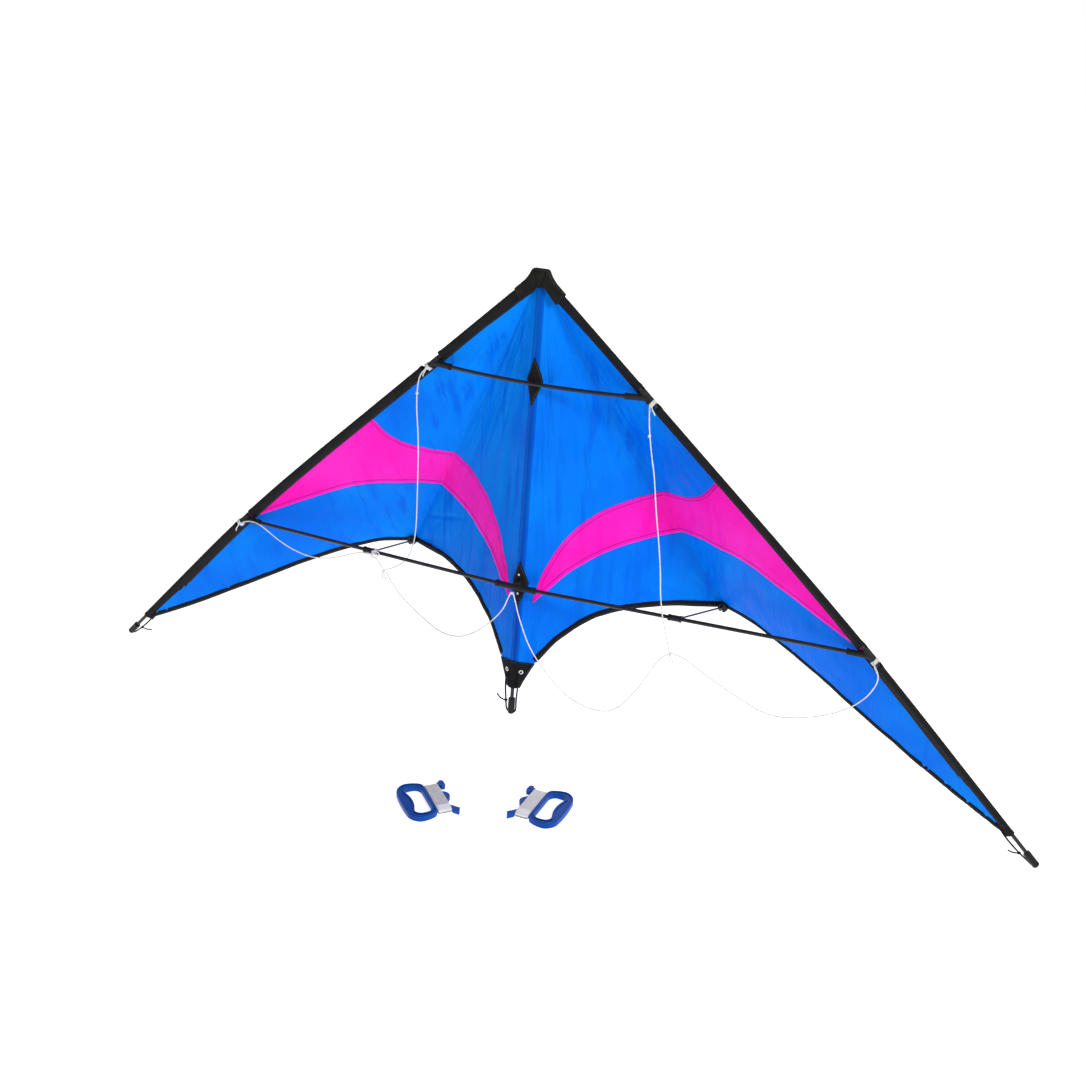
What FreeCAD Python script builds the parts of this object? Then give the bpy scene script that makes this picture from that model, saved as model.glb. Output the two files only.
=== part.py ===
import FreeCAD, Part
import math
import os

# A two-line delta stunt kite, set up for flight, with its pair of winder handles.
#
# Frame: millimetres, +Z up, +X to the right seen from the front, and the front (the side
# with the bridle) faces -Y. The origin is the nose, where the two leading edges meet.
# The kite stands upright on its two wing tips, and the handles lie on the same floor.
#
# The sail is a cone of straight rays from the nose. A point of it is given by its angle
# from the spine, in degrees, and its distance from the nose in the XZ plane. Its depth
# along Y is that distance times camber(angle).

Vec = FreeCAD.Vector
X_AXIS = Vec(1, 0, 0)
Y_AXIS = Vec(0, 1, 0)
Z_AXIS = Vec(0, 0, 1)

# ---------------------------------------------------------------- driving dimensions
HALF_SPAN = 800.0
TIP_DROP = 764.5
TIP_BACK = 26.0
FLOOR_Z = -770.0

LOWER_FIT = Vec(528, 8, -482)
UPPER_FIT_S = 232.0
SPAR_BEND = 150.0

ROD_R = 2.9
ROD_BORE = 1.9
FIT_GAP = 0.05
SOCKET_R = 4.6
FITTING_LENGTH = 28.0
SOCKET_LENGTH = 34.0
ROD_SETBACK = 8.5
SOCKET_STOP = 7.5

SPINE_SLOPE = 0.0895
SPINE_BEHIND = 4.8
SPINE_TOP = 16.0
SPINE_END = 682.0
CAP_LENGTH = 26.0
CAP_R = 5.4

TEE_CENTRE = Vec(0, -56, -465)
TEE_HALF = 33.0
UPPER_SPREADER_LEAN = 11.6
RIVET_AWAY = 15.0
RIVET_R = 1.7

STANDOFF_R = 1.4
SAIL_CORNER = Vec(274, 131.5, -515)
CLIP_LENGTH = 20.0
CLIP_X = {"left": 270.0, "right": 245.0}
STANDOFF_X = {"left": 263.0, "right": 250.0}

CLOTH = 0.6
SLEEVE_R = 4.2
SLEEVE_BORE = 3.3
SLEEVE_WIDTH = 16.8
TIP_SLEEVE_WIDTH = 13.5
SLEEVE_TILT = 21.6
SLEEVE_END_S = 1047.0
BINDING = 4.5

LINE_R = 0.9
ELASTIC_R = 1.0

HANDLE_THICK = 9.4
HANDLE_WIDE = 94.0
BAR_FRONT = 46.0
RIM = 2.8
RECESS_DEPTH = 1.3
NECK_END = 67.5
NECK_THICK = 3.6
WINDING_THICK = 9.0

os.makedirs("parts", exist_ok=True)


def save(name, shape):
    """Write one sub-part, and say what it holds."""
    shape.exportStep("parts/%s.step" % name)
    facts = (name, len(shape.Solids), shape.Volume, shape.isValid())
    print("%-34s solids %d  volume %.1f  valid %s" % facts)


def mirrored(shape):
    return shape.mirror(Vec(0, 0, 0), X_AXIS)


def save_pair(name, shape):
    """Write a right-hand sub-part and its mirror image for the left."""
    save("right_" + name, shape)
    save("left_" + name, mirrored(shape))


def unit(vector):
    result = Vec(vector)
    result.normalize()
    return result


def rod(start, end, radius):
    return Part.makeCylinder(radius, (end - start).Length, start, end - start)


def tube(start, end, outer, inner):
    return rod(start, end, outer).cut(rod(start, end, inner))


def group(shapes):
    return Part.makeCompound(shapes)


def side_sign(side):
    return -1.0 if side == "left" else 1.0


def to_side(point, side):
    return Vec(point.x * side_sign(side), point.y, point.z)


# ---------------------------------------------------------------- leading edge line
TIP = Vec(HALF_SPAN, TIP_BACK, -TIP_DROP)


def bend_corner():
    """The point where the two straight stretches of the leading edge would meet.

    The bend between them passes through LOWER_FIT, so the corner stands a little outside it."""
    first = unit(LOWER_FIT)
    second = unit(TIP - LOWER_FIT)
    half_turn = first.getAngle(second) / 2
    radius = SPAR_BEND / math.tan(half_turn)
    return LOWER_FIT + unit(first - second) * radius * (1 / math.cos(half_turn) - 1)


CORNER = bend_corner()
SPAR_FIRST = unit(CORNER)
SPAR_SECOND = unit(TIP - CORNER)
SPAR_TURN = SPAR_FIRST.getAngle(SPAR_SECOND)
SPAR_RADIUS = SPAR_BEND / math.tan(SPAR_TURN / 2)
BEND_START_S = CORNER.Length - SPAR_BEND
BEND_END_S = BEND_START_S + SPAR_RADIUS * SPAR_TURN
SPAR_LENGTH = BEND_END_S + (TIP - CORNER).Length - SPAR_BEND
LOWER_FIT_S = (BEND_START_S + BEND_END_S) / 2
SPAR_INWARD = unit(SPAR_SECOND - SPAR_FIRST * SPAR_SECOND.dot(SPAR_FIRST))
BEND_CENTRE = SPAR_FIRST * BEND_START_S + SPAR_INWARD * SPAR_RADIUS


def spar_point(s):
    """A point of the right leading edge's axis, s along it from the nose."""
    if s <= BEND_START_S:
        return SPAR_FIRST * s
    if s >= BEND_END_S:
        return TIP - SPAR_SECOND * (SPAR_LENGTH - s)
    turn = (s - BEND_START_S) / SPAR_RADIUS
    outward = SPAR_INWARD * -math.cos(turn) + SPAR_FIRST * math.sin(turn)
    return BEND_CENTRE + outward * SPAR_RADIUS


def spar_direction(s):
    step = 0.5
    return unit(spar_point(s + step) - spar_point(s - step))


UPPER_HUB = spar_point(UPPER_FIT_S)
LOWER_HUB = spar_point(LOWER_FIT_S)


def spar_wire(start, end):
    """The leading edge's axis between two distances, as straight runs and one arc."""
    edges = []
    if start < BEND_START_S:
        edges.append(Part.makeLine(spar_point(start), spar_point(min(end, BEND_START_S))))
    low = max(start, BEND_START_S)
    high = min(end, BEND_END_S)
    if high > low:
        middle = spar_point((low + high) / 2)
        edges.append(Part.Arc(spar_point(low), middle, spar_point(high)).toShape())
    if end > BEND_END_S:
        edges.append(Part.makeLine(spar_point(max(start, BEND_END_S)), spar_point(end)))
    return Part.Wire(edges)


def along_spar(start, end, radius):
    """A round bar along the leading edge."""
    ring = Part.makeCircle(radius, spar_point(start), spar_direction(start + 1))
    return spar_wire(start, end).makePipeShell([Part.Wire(ring)], True, False)


def swept_along_spar(start, end, corners):
    """A bar whose section is a polygon, given as distances inward and behind the axis."""
    inward, behind = sleeve_axes()
    origin = spar_point(start)
    points = [origin + inward * a + behind * b for a, b in corners]
    profile = Part.makePolygon(points + [points[0]])
    return spar_wire(start, end).makePipeShell([profile], True, False)


def sleeve_axes():
    """Inward across the sleeve, leaning back with the sail, and behind it."""
    flat_inward = unit(Vec(SPAR_FIRST.z, 0, -SPAR_FIRST.x))
    tilt = math.radians(SLEEVE_TILT)
    inward = unit(flat_inward * math.cos(tilt) + Y_AXIS * math.sin(tilt))
    inward = unit(inward - SPAR_FIRST * inward.dot(SPAR_FIRST))
    behind = SPAR_FIRST.cross(inward)
    if behind.y < 0:
        behind = behind * -1
    return inward, behind


# ---------------------------------------------------------------- sail surface
INNER_CAMBER = [(0, -SPINE_SLOPE), (12, 0.045), (21, 0.158), (28, 0.2286)]
OUTER_CAMBER = [(28, 0.2286), (36, 0.126), (42, 0.056), (48, 0.008)]
CORNER_ANGLE = 28.0
TAIL_ANGLE = 2.8
TAIL_EDGE = [(0.0, 636), (1.0, 636), (2.8, 597)]
INNER_EDGE = [(2.8, 597), (6, 561), (12, 533), (20, 544), (28, 583)]
OUTER_EDGE = [(28, 583), (33, 622), (38, 715), (42, 851), (46, 1040)]
STRIPE_TOP = [
    (2, 500), (4, 447), (8, 400), (14, 371), (20, 364),
    (28, 368), (35, 383), (40, 390), (47, 384),
]
STRIPE_BOTTOM = [
    (2, 500), (4, 483), (8, 455), (14, 434), (21, 431),
    (28, 442), (34, 468), (40, 517), (44, 600), (48, 730),
]
STATIONS = [0, 1, 2, 2.8, 4, 6, 8, 10, 12, 15, 18, 21, 24, 26, 28, 30, 33, 36, 38, 40, 42, 43, 44]
STATIONS += [44.6, 45.0, 45.3, 45.6, 45.8, 46.0, 46.2]


def smooth(knots, x):
    """A smooth curve through the knots, by cubic Hermite spans."""
    if x <= knots[0][0]:
        return knots[0][1]
    if x >= knots[-1][0]:
        return knots[-1][1]
    count = len(knots)
    index = max(i for i in range(count - 1) if knots[i][0] <= x)

    def slope(i):
        low = max(i - 1, 0)
        high = min(i + 1, count - 1)
        return (knots[high][1] - knots[low][1]) / (knots[high][0] - knots[low][0])

    x0, y0 = knots[index]
    x1, y1 = knots[index + 1]
    span = x1 - x0
    t = (x - x0) / span
    start = (1 + 2 * t) * (1 - t) ** 2 * y0 + t * (1 - t) ** 2 * span * slope(index)
    end = t * t * (3 - 2 * t) * y1 + t * t * (t - 1) * span * slope(index + 1)
    return start + end


def straight(knots, x):
    """A curve through the knots by straight spans."""
    for (x0, y0), (x1, y1) in zip(knots, knots[1:]):
        if x <= x1:
            return y0 + (y1 - y0) * (x - x0) / (x1 - x0)
    return knots[-1][1]


def camber(angle):
    """Depth along Y per distance from the nose. The crease at the sail corner is sharp."""
    return smooth(INNER_CAMBER if angle <= CORNER_ANGLE else OUTER_CAMBER, angle)


def sail_point(angle, reach, behind=0.0):
    turn = math.radians(angle)
    return Vec(reach * math.sin(turn), reach * camber(angle) + behind, -reach * math.cos(turn))


def trailing_edge(angle):
    if angle <= TAIL_ANGLE:
        return straight(TAIL_EDGE, angle)
    return smooth(INNER_EDGE if angle <= CORNER_ANGLE else OUTER_EDGE, angle)


def binding_reach(angle):
    """The binding's width measured along a ray, so that it is BINDING wide across itself."""
    step = 0.2
    rise = trailing_edge(angle + step) - trailing_edge(angle - step)
    run = trailing_edge(angle) * math.radians(2 * step)
    return BINDING * min(math.hypot(1, rise / run), 4.5)


def stripe_top(angle):
    return smooth(STRIPE_TOP, angle)


def stripe_bottom(angle):
    return smooth(STRIPE_BOTTOM, angle)


SPAR_ANGLE = math.degrees(math.atan2(CORNER.x, -CORNER.z))
TIP_SPAR_ANGLE = math.degrees(math.atan2(TIP.x - CORNER.x, CORNER.z - TIP.z))


def sleeve_edge(angle):
    """Where a ray leaves the sleeve's inner edge on the straight upper stretch."""
    return (SLEEVE_WIDTH + 0.4) / math.sin(math.radians(max(SPAR_ANGLE - angle, 0.05)))


def tip_sleeve_edge(angle):
    """Where a ray comes back to the sleeve's inner edge, below the bend."""
    away = math.radians(angle - TIP_SPAR_ANGLE)
    inside = CORNER.Length * math.sin(math.radians(SPAR_ANGLE - TIP_SPAR_ANGLE)) - TIP_SLEEVE_WIDTH
    if math.sin(away) <= 0.001:
        return 5000.0
    return inside / math.sin(away)


def crossing(low, high, start, end):
    """The angle between start and end at which low(angle) catches up with high(angle)."""
    for _ in range(40):
        middle = (start + end) / 2
        if high(middle) > low(middle):
            start = middle
        else:
            end = middle
    return start


def cone_panel(low, high, first=0.0, last=46.6, front=0.0, thickness=CLOTH):
    """A thin solid on the sail between two curves, made of one flat facet per station."""
    angles = [first] + [a for a in STATIONS if first < a < last and high(a) - low(a) > 1.0]
    angles.append(crossing(low, high, angles[-1], last) - 0.02)
    rows = []
    for angle in angles:
        near = max(low(angle), 1.0)
        far = max(high(angle), near + 0.2)
        rows.append([
            sail_point(angle, near, front),
            sail_point(angle, far, front),
            sail_point(angle, far, front + thickness),
            sail_point(angle, near, front + thickness),
        ])
    faces = [Part.Face(Part.makePolygon(row + [row[0]])) for row in (rows[0], rows[-1])]
    for here, there in zip(rows, rows[1:]):
        for i in range(4):
            j = (i + 1) % 4
            loop = [here[i], here[j], there[j], there[i], here[i]]
            faces.append(Part.Face(Part.makePolygon(loop)))
    solid = Part.Solid(Part.Shell(faces))
    if solid.Volume < 0:
        solid.reverse()
    return solid


# ---------------------------------------------------------------- frame
def spine_point(drop):
    return Vec(0, -SPINE_SLOPE * drop + SPINE_BEHIND, -drop)


SPINE_DIRECTION = unit(spine_point(100) - spine_point(0))


def end_cap(tip, direction, across):
    """A push-on cap with a rounded end, a blind bore and a notch for its tension cord."""
    back = tip - direction * CAP_LENGTH
    body = rod(back, tip, CAP_R)
    rim = [edge for edge in body.Edges if abs((edge.CenterOfMass - tip).dot(direction)) < 0.01]
    body = body.makeFillet(3.6, rim)
    body = body.cut(rod(back - direction, tip - direction * 9, ROD_R + FIT_GAP))
    return body.cut(slab(tip, direction, across, 2 * CAP_R, 1.4, 6.0))


def slab(centre, direction, across, half_length, half_width, half_depth):
    """A flat block: half_length along across, half_depth along direction."""
    narrow = unit(direction.cross(across))
    low = centre - across * half_length - narrow * half_width - direction * half_depth
    points = [low, low + across * 2 * half_length]
    points += [points[1] + narrow * 2 * half_width, low + narrow * 2 * half_width]
    return Part.Face(Part.makePolygon(points + [low])).extrude(direction * 2 * half_depth)


def make_leading_edge_rods():
    joint = 552.0
    overlap = 40.0
    upper = tube(spar_point(12), spar_point(joint), ROD_R, ROD_BORE)
    lower = along_spar(joint + 0.3, SPAR_LENGTH - 9.6, ROD_R)
    lower = lower.cut(along_spar(joint - 1, SPAR_LENGTH - 5, ROD_BORE))
    ferrule = rod(spar_point(joint - overlap), spar_point(BEND_START_S), ROD_BORE - FIT_GAP)
    save_pair("upper_leading_edge_rod", upper)
    save_pair("lower_leading_edge_rod", lower)
    save_pair("leading_edge_ferrule", ferrule)
    save_pair("tip_end_cap", end_cap(TIP, SPAR_SECOND, tip_sideways()))


def make_spine():
    end = spine_point(SPINE_END)
    inner_end = end - SPINE_DIRECTION * 9.6
    save("spine_rod", tube(spine_point(SPINE_TOP), inner_end, ROD_R, ROD_BORE))
    save("spine_end_cap", end_cap(end, SPINE_DIRECTION, X_AXIS))


def spar_fitting(s, direction):
    """A moulded tee: a tube on the leading edge and a blind socket for the spreader."""
    centre = spar_point(s)
    line = spar_direction(s)
    half = FITTING_LENGTH / 2
    mouth = centre + direction * SOCKET_LENGTH
    body = rod(centre - line * half, centre + line * half, SOCKET_R)
    body = body.fuse(rod(centre, mouth, SOCKET_R))
    body = body.fuse(rod(mouth - direction * 4, mouth, SOCKET_R + 0.5))
    body = body.cut(along_spar(s - half - 1, s + half + 1, ROD_R + FIT_GAP))
    body = body.cut(rod(centre + direction * SOCKET_STOP, mouth + direction, ROD_R + FIT_GAP))
    return body.removeSplitter()


def upper_socket_direction():
    """The bowed spreader pushes its sockets round to lean forward."""
    lean = math.radians(UPPER_SPREADER_LEAN)
    return Vec(-math.cos(lean), -math.sin(lean), 0)


LOWER_SOCKET = unit(TEE_CENTRE - LOWER_HUB)


def upper_spreader_path():
    """Straight in its sockets, and one arc between them that passes in front of the spine."""
    direction = upper_socket_direction()
    end = UPPER_HUB + direction * ROD_SETBACK
    free = UPPER_HUB + direction * (SOCKET_LENGTH + 2)
    sag = free.x * math.tan(math.radians(UPPER_SPREADER_LEAN) / 2)
    centre = Vec(0, free.y - sag, free.z)
    far = [to_side(point, "left") for point in (free, end)]
    first = Part.makeLine(end, free)
    arc = Part.Arc(free, centre, far[0]).toShape()
    return Part.Wire([first, arc, Part.makeLine(far[0], far[1])])


def make_spreaders():
    path = upper_spreader_path()
    end = UPPER_HUB + upper_socket_direction() * ROD_SETBACK
    shells = []
    for radius in (ROD_R, ROD_BORE):
        ring = Part.makeCircle(radius, end, upper_socket_direction())
        shells.append(path.makePipeShell([Part.Wire(ring)], True, False))
    save("upper_spreader", shells[0].cut(shells[1]))
    outer = LOWER_HUB + LOWER_SOCKET * ROD_SETBACK
    inner = TEE_CENTRE - LOWER_SOCKET * ROD_SETBACK
    save_pair("lower_spreader", tube(outer, inner, ROD_R, ROD_BORE))


def make_spar_fittings():
    save_pair("upper_spar_fitting", spar_fitting(UPPER_FIT_S, upper_socket_direction()))
    save_pair("lower_spar_fitting", spar_fitting(LOWER_FIT_S, LOWER_SOCKET))


def make_centre_tee():
    """Two sockets for the lower spreaders, a web through the sail and a tube on the spine."""
    body = Part.makeSphere(SOCKET_R, TEE_CENTRE)
    bores = []
    for side in ("left", "right"):
        out = to_side(LOWER_SOCKET * -1, side)
        mouth = TEE_CENTRE + out * TEE_HALF
        body = body.fuse(rod(TEE_CENTRE, mouth, SOCKET_R))
        body = body.fuse(rod(mouth - out * 5, mouth, SOCKET_R + 0.6))
        bores.append(rod(TEE_CENTRE + out * SOCKET_STOP, mouth + out, ROD_R + FIT_GAP))
    spine = spine_point(-TEE_CENTRE.z)
    half = 9.0
    tube_start = spine - SPINE_DIRECTION * half
    tube_end = spine + SPINE_DIRECTION * half
    web_corner = Vec(-4, TEE_CENTRE.y, TEE_CENTRE.z - half + 2)
    web = Part.makeBox(8, spine.y - TEE_CENTRE.y, 2 * half - 4, web_corner)
    body = body.fuse(rod(tube_start, tube_end, SOCKET_R + 0.4)).fuse(web)
    bores.append(rod(tube_start - SPINE_DIRECTION, tube_end + SPINE_DIRECTION, ROD_R + FIT_GAP))
    for bore in bores:
        body = body.cut(bore)
    save("centre_tee", body.removeSplitter())


def standoff_root(side):
    """The foot of a standoff, on the axis of its lower spreader."""
    return on_lower_spreader(STANDOFF_X[side], side)


def on_lower_spreader(x, side):
    return to_side(TEE_CENTRE + (LOWER_HUB - TEE_CENTRE) * (x / LOWER_HUB.x), side)


def make_standoffs():
    for side in ("left", "right"):
        spreader = to_side(LOWER_SOCKET, side)
        root = standoff_root(side)
        corner = to_side(SAIL_CORNER, side)
        rise = unit(corner - root)
        centre = on_lower_spreader(CLIP_X[side], side)
        half = CLIP_LENGTH / 2
        clip = rod(centre - spreader * half, centre + spreader * half, SOCKET_R)
        for rib in (-1, 1):
            middle = centre + spreader * (rib * (half - 1.5))
            clip = clip.fuse(rod(middle - spreader * 1.5, middle + spreader * 1.5, SOCKET_R + 0.5))
        clip = clip.fuse(rod(root, root + rise * 13, STANDOFF_R + 1.5))
        clip = clip.cut(rod(centre - spreader * 30, centre + spreader * 30, ROD_R + FIT_GAP))
        clip = clip.cut(rod(root + rise * 5.5, root + rise * 20, STANDOFF_R + FIT_GAP))
        save(side + "_standoff_clip", clip.removeSplitter())
        save(side + "_standoff_rod", rod(root + rise * 6, corner, STANDOFF_R))
        save(side + "_sail_corner_fitting", sail_corner_fitting(corner, rise))


CORNER_WIDE = 16.0
CORNER_DEEP = 11.0
CORNER_TALL = 16.0
CORNER_BELOW = 6.0


def corner_block(corner, spare=0.0):
    """The block that clamps the sail's trailing edge where a standoff pushes it back."""
    low = Vec(corner.x - CORNER_WIDE / 2, corner.y + 0.9 - CORNER_DEEP, corner.z - CORNER_BELOW)
    low = low - Vec(spare, spare, spare)
    return Part.makeBox(CORNER_WIDE + 2 * spare, CORNER_DEEP + 2 * spare + 4, CORNER_TALL + 2 * spare, low)


def sail_corner_fitting(corner, rise):
    """The block's channel is open in front and below, so the standoff can swing out of it."""
    middle = corner + Vec(0, 0.9 - CORNER_DEEP, CORNER_TALL / 2 - CORNER_BELOW)
    body = Part.makeCylinder(CORNER_WIDE / 2, CORNER_DEEP + 4, middle, Y_AXIS)
    body = body.makeFillet(2.4, [edge for edge in body.Edges if edge.BoundBox.YLength < 0.01])
    half = STANDOFF_R + 0.5
    stop = corner + Y_AXIS * 0.6
    mouth = stop - rise * (1.5 * CORNER_DEEP)
    points = [stop - X_AXIS * half, stop + X_AXIS * half, mouth + X_AXIS * half, mouth - X_AXIS * half]
    floor = corner.z - 20
    flat = [Vec(point.x, point.y, floor) for point in points]
    slot = Part.Face(Part.makePolygon(flat + [flat[0]])).extrude(Z_AXIS * (corner.z + 6 - floor))
    return body.cut(slot)


# ---------------------------------------------------------------- cloth
def tee_hole():
    return Part.makeBox(13, 60, 26, Vec(-6.5, -80, TEE_CENTRE.z - 13))


def make_sail_panels():
    block = corner_block(SAIL_CORNER, 0.3)

    def hem(angle):
        return trailing_edge(angle) - binding_reach(angle)

    def lower_start(angle):
        return max(stripe_bottom(angle), sleeve_edge(angle))

    def lower_end(angle):
        return min(hem(angle) - 0.1, tip_sleeve_edge(angle))

    def hem_end(angle):
        return min(trailing_edge(angle), tip_sleeve_edge(angle))

    upper = cone_panel(sleeve_edge, stripe_top)
    stripe = cone_panel(lambda a: max(stripe_top(a), sleeve_edge(a)), stripe_bottom, first=2.8)
    lower = cone_panel(lower_start, lower_end).cut(block)
    for hole in eyelet_holes():
        lower = lower.cut(hole)
    binding = cone_panel(hem, hem_end, first=TAIL_ANGLE + 0.1, front=-0.3, thickness=1.2)
    save_pair("upper_sail_panel", upper.cut(tee_hole()))
    save_pair("stripe_sail_panel", stripe)
    save_pair("lower_sail_panel", lower)
    save_pair("trailing_edge_binding", binding.cut(block))


def make_sleeves():
    """A round pocket over the rods with a flat tail stitched to the sail, cut away at the fittings."""
    start = 16.0
    cloth = along_spar(start, SLEEVE_END_S, SLEEVE_R)
    cloth = cloth.fuse(swept_along_spar(start, BEND_START_S - 20, sleeve_tail(SLEEVE_WIDTH)))
    tip_tail = sleeve_tail(TIP_SLEEVE_WIDTH - 0.6)
    cloth = cloth.fuse(swept_along_spar(BEND_START_S - 20.5, SLEEVE_END_S, tip_tail))
    cloth = cloth.cut(along_spar(start - 1, SLEEVE_END_S + 1, SLEEVE_BORE))
    clear = FITTING_LENGTH / 2 + 8
    for s, direction in ((UPPER_FIT_S, upper_socket_direction()), (LOWER_FIT_S, LOWER_SOCKET)):
        centre = spar_point(s)
        cloth = cloth.cut(rod(spar_point(s - clear), spar_point(s + clear), 7.6))
        cloth = cloth.cut(rod(centre, centre + direction * 60, SOCKET_R + 1.2))
    save_pair("leading_edge_sleeve", cloth)


def sleeve_tail(width):
    half = CLOTH
    return [(SLEEVE_R - 0.5, -half), (width, -half), (width, half), (SLEEVE_R - 0.5, half)]


def sail_patch(outline, front, thickness, hole=None):
    """A flat facet on each wing, from the spine outwards, joined along the spine."""
    faces = []
    for sign in (1, -1):
        points = [Vec(sign * p.x, p.y, p.z) for p in (on_sail(x, z, front) for x, z in outline)]
        faces.append(Part.Face(Part.makePolygon(points + [points[0]])).extrude(Y_AXIS * -thickness))
    patch = faces[0].fuse(faces[1]).removeSplitter()
    return patch.cut(hole) if hole else patch


def on_sail(x, z, behind):
    reach = math.hypot(x, z)
    return sail_point(math.degrees(math.atan2(x, -z)), reach, behind)


def make_patches():
    gap = 0.4
    half_wide = 13.0
    half_tall = 36.0
    diamonds = (
        ("upper_diamond_patch", -154.0, None),
        ("centre_diamond_patch", TEE_CENTRE.z, tee_hole()),
    )
    for name, height, hole in diamonds:
        outline = [(0, height + half_tall), (half_wide, height), (0, height - half_tall)]
        save(name, sail_patch(outline, -gap, CLOTH, hole))
    rivets = []
    for away in (RIVET_AWAY, -RIVET_AWAY):
        centre = on_sail(0, TEE_CENTRE.z + away, -gap - CLOTH - 0.3)
        rivets.append(rod(centre, centre - Y_AXIS, RIVET_R))
    save("centre_patch_rivets", group(rivets))
    save_tail()


def eyelet_axis(sign):
    """The centre and the axis of a tail eyelet, square to its wing's facet."""
    centre = on_sail(11.5, -610, -1.3)
    return to_side(centre, "left" if sign < 0 else "right"), unit(Vec(0.6 * sign, -1, 0))


def eyelet_holes(signs=(1,)):
    holes = []
    for sign in signs:
        centre, axis = eyelet_axis(sign)
        holes.append(rod(centre - axis * 6, centre + axis * 6, 3.65))
    return holes


def save_tail():
    outline = [(0, -592), (28.5, -592), (11, -634), (0, -634)]
    patch = sail_patch_folded(outline, -0.4, 0.9)
    eyelets = []
    for sign in (-1, 1):
        centre, axis = eyelet_axis(sign)
        hole = rod(centre - axis * 6, centre + axis * 6, 1.9)
        eyelets.append(rod(centre - axis * 2.6, centre + axis * 1.0, 3.6).cut(hole))
    for hole in eyelet_holes((-1, 1)):
        patch = patch.cut(hole)
    save("tail_patch", patch)
    save("tail_eyelets", group(eyelets))


def sail_patch_folded(outline, front, thickness):
    """As sail_patch, with each wing's facet split so that every face stays flat."""
    solids = []
    for sign in (1, -1):
        points = [Vec(sign * p.x, p.y, p.z) for p in (on_sail(x, z, front) for x, z in outline)]
        for i in range(1, len(points) - 1):
            loop = [points[0], points[i], points[i + 1], points[0]]
            solids.append(Part.Face(Part.makePolygon(loop)).extrude(Y_AXIS * -thickness))
    result = solids[0]
    for solid in solids[1:]:
        result = result.fuse(solid)
    return result.removeSplitter()


def make_spine_pocket():
    """A ribbon behind the spine, in two lengths, above and below the tee."""
    wide = 22.0
    behind = 8.75
    pieces = []
    for top, bottom in ((38.0, 449.0), (481.0, 590.0)):
        start = Vec(0, -SPINE_SLOPE * top + behind, -top)
        end = Vec(0, -SPINE_SLOPE * bottom + behind, -bottom)
        half = X_AXIS * wide / 2
        corners = [start - half, start + half, end + half, end - half]
        face = Part.Face(Part.makePolygon(corners + [corners[0]]))
        pieces.append(face.extrude(Y_AXIS * CLOTH))
    save("spine_pocket", group(pieces))


def make_nose_patch():
    """A folded cap over the nose, hollow and open below."""
    base = -21.0
    front = -6.2
    back = 10.8
    wall = 1.0

    def wedge(apex, low, y0, y1):
        half = (apex - low) / (SPAR_FIRST.z / -SPAR_FIRST.x)
        points = [Vec(0, y0, apex), Vec(half, y0, low), Vec(-half, y0, low)]
        return Part.Face(Part.makePolygon(points + [points[0]])).extrude(Y_AXIS * (y1 - y0))

    outer = wedge(9.4, base, front, back)
    inner = wedge(9.4 - wall * 1.4, base - 5, front + wall, back - wall)
    save("nose_patch", outer.cut(inner))


# ---------------------------------------------------------------- cords
def rounded_path(points, name):
    """Straight runs joined by tangent arcs, each as large as its two runs allow."""
    edges = []
    last = points[0]
    radii = []
    for before, here, after in zip(points, points[1:], points[2:]):
        back = unit(before - here)
        on = unit(after - here)
        turn = math.pi - back.getAngle(on)
        reach = 0.45 * min((before - here).Length, (after - here).Length)
        radius = reach / math.tan(turn / 2)
        radii.append(radius)
        middle = here + unit(back + on) * (radius / math.cos(turn / 2) - radius)
        edges.append(Part.LineSegment(last, here + back * reach).toShape())
        edges.append(Part.Arc(here + back * reach, middle, here + on * reach).toShape())
        last = here + on * reach
    edges.append(Part.LineSegment(last, points[-1]).toShape())
    print("%-28s least bend radius %.1f of %d" % (name, min(radii), len(radii)))
    return Part.Wire(edges)


def cord(points, radius, name):
    path = rounded_path(points, name)
    ring = Part.makeCircle(radius, points[0], points[1] - points[0])
    solid = path.makePipeShell([Part.Wire(ring)], True, False)
    share = solid.Volume / (math.pi * radius ** 2 * path.Length)
    print("%-28s length %.1f  volume share %.4f" % (name, path.Length, share))
    return solid


def points_of(rows):
    return [Vec(*row) for row in rows]


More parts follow.
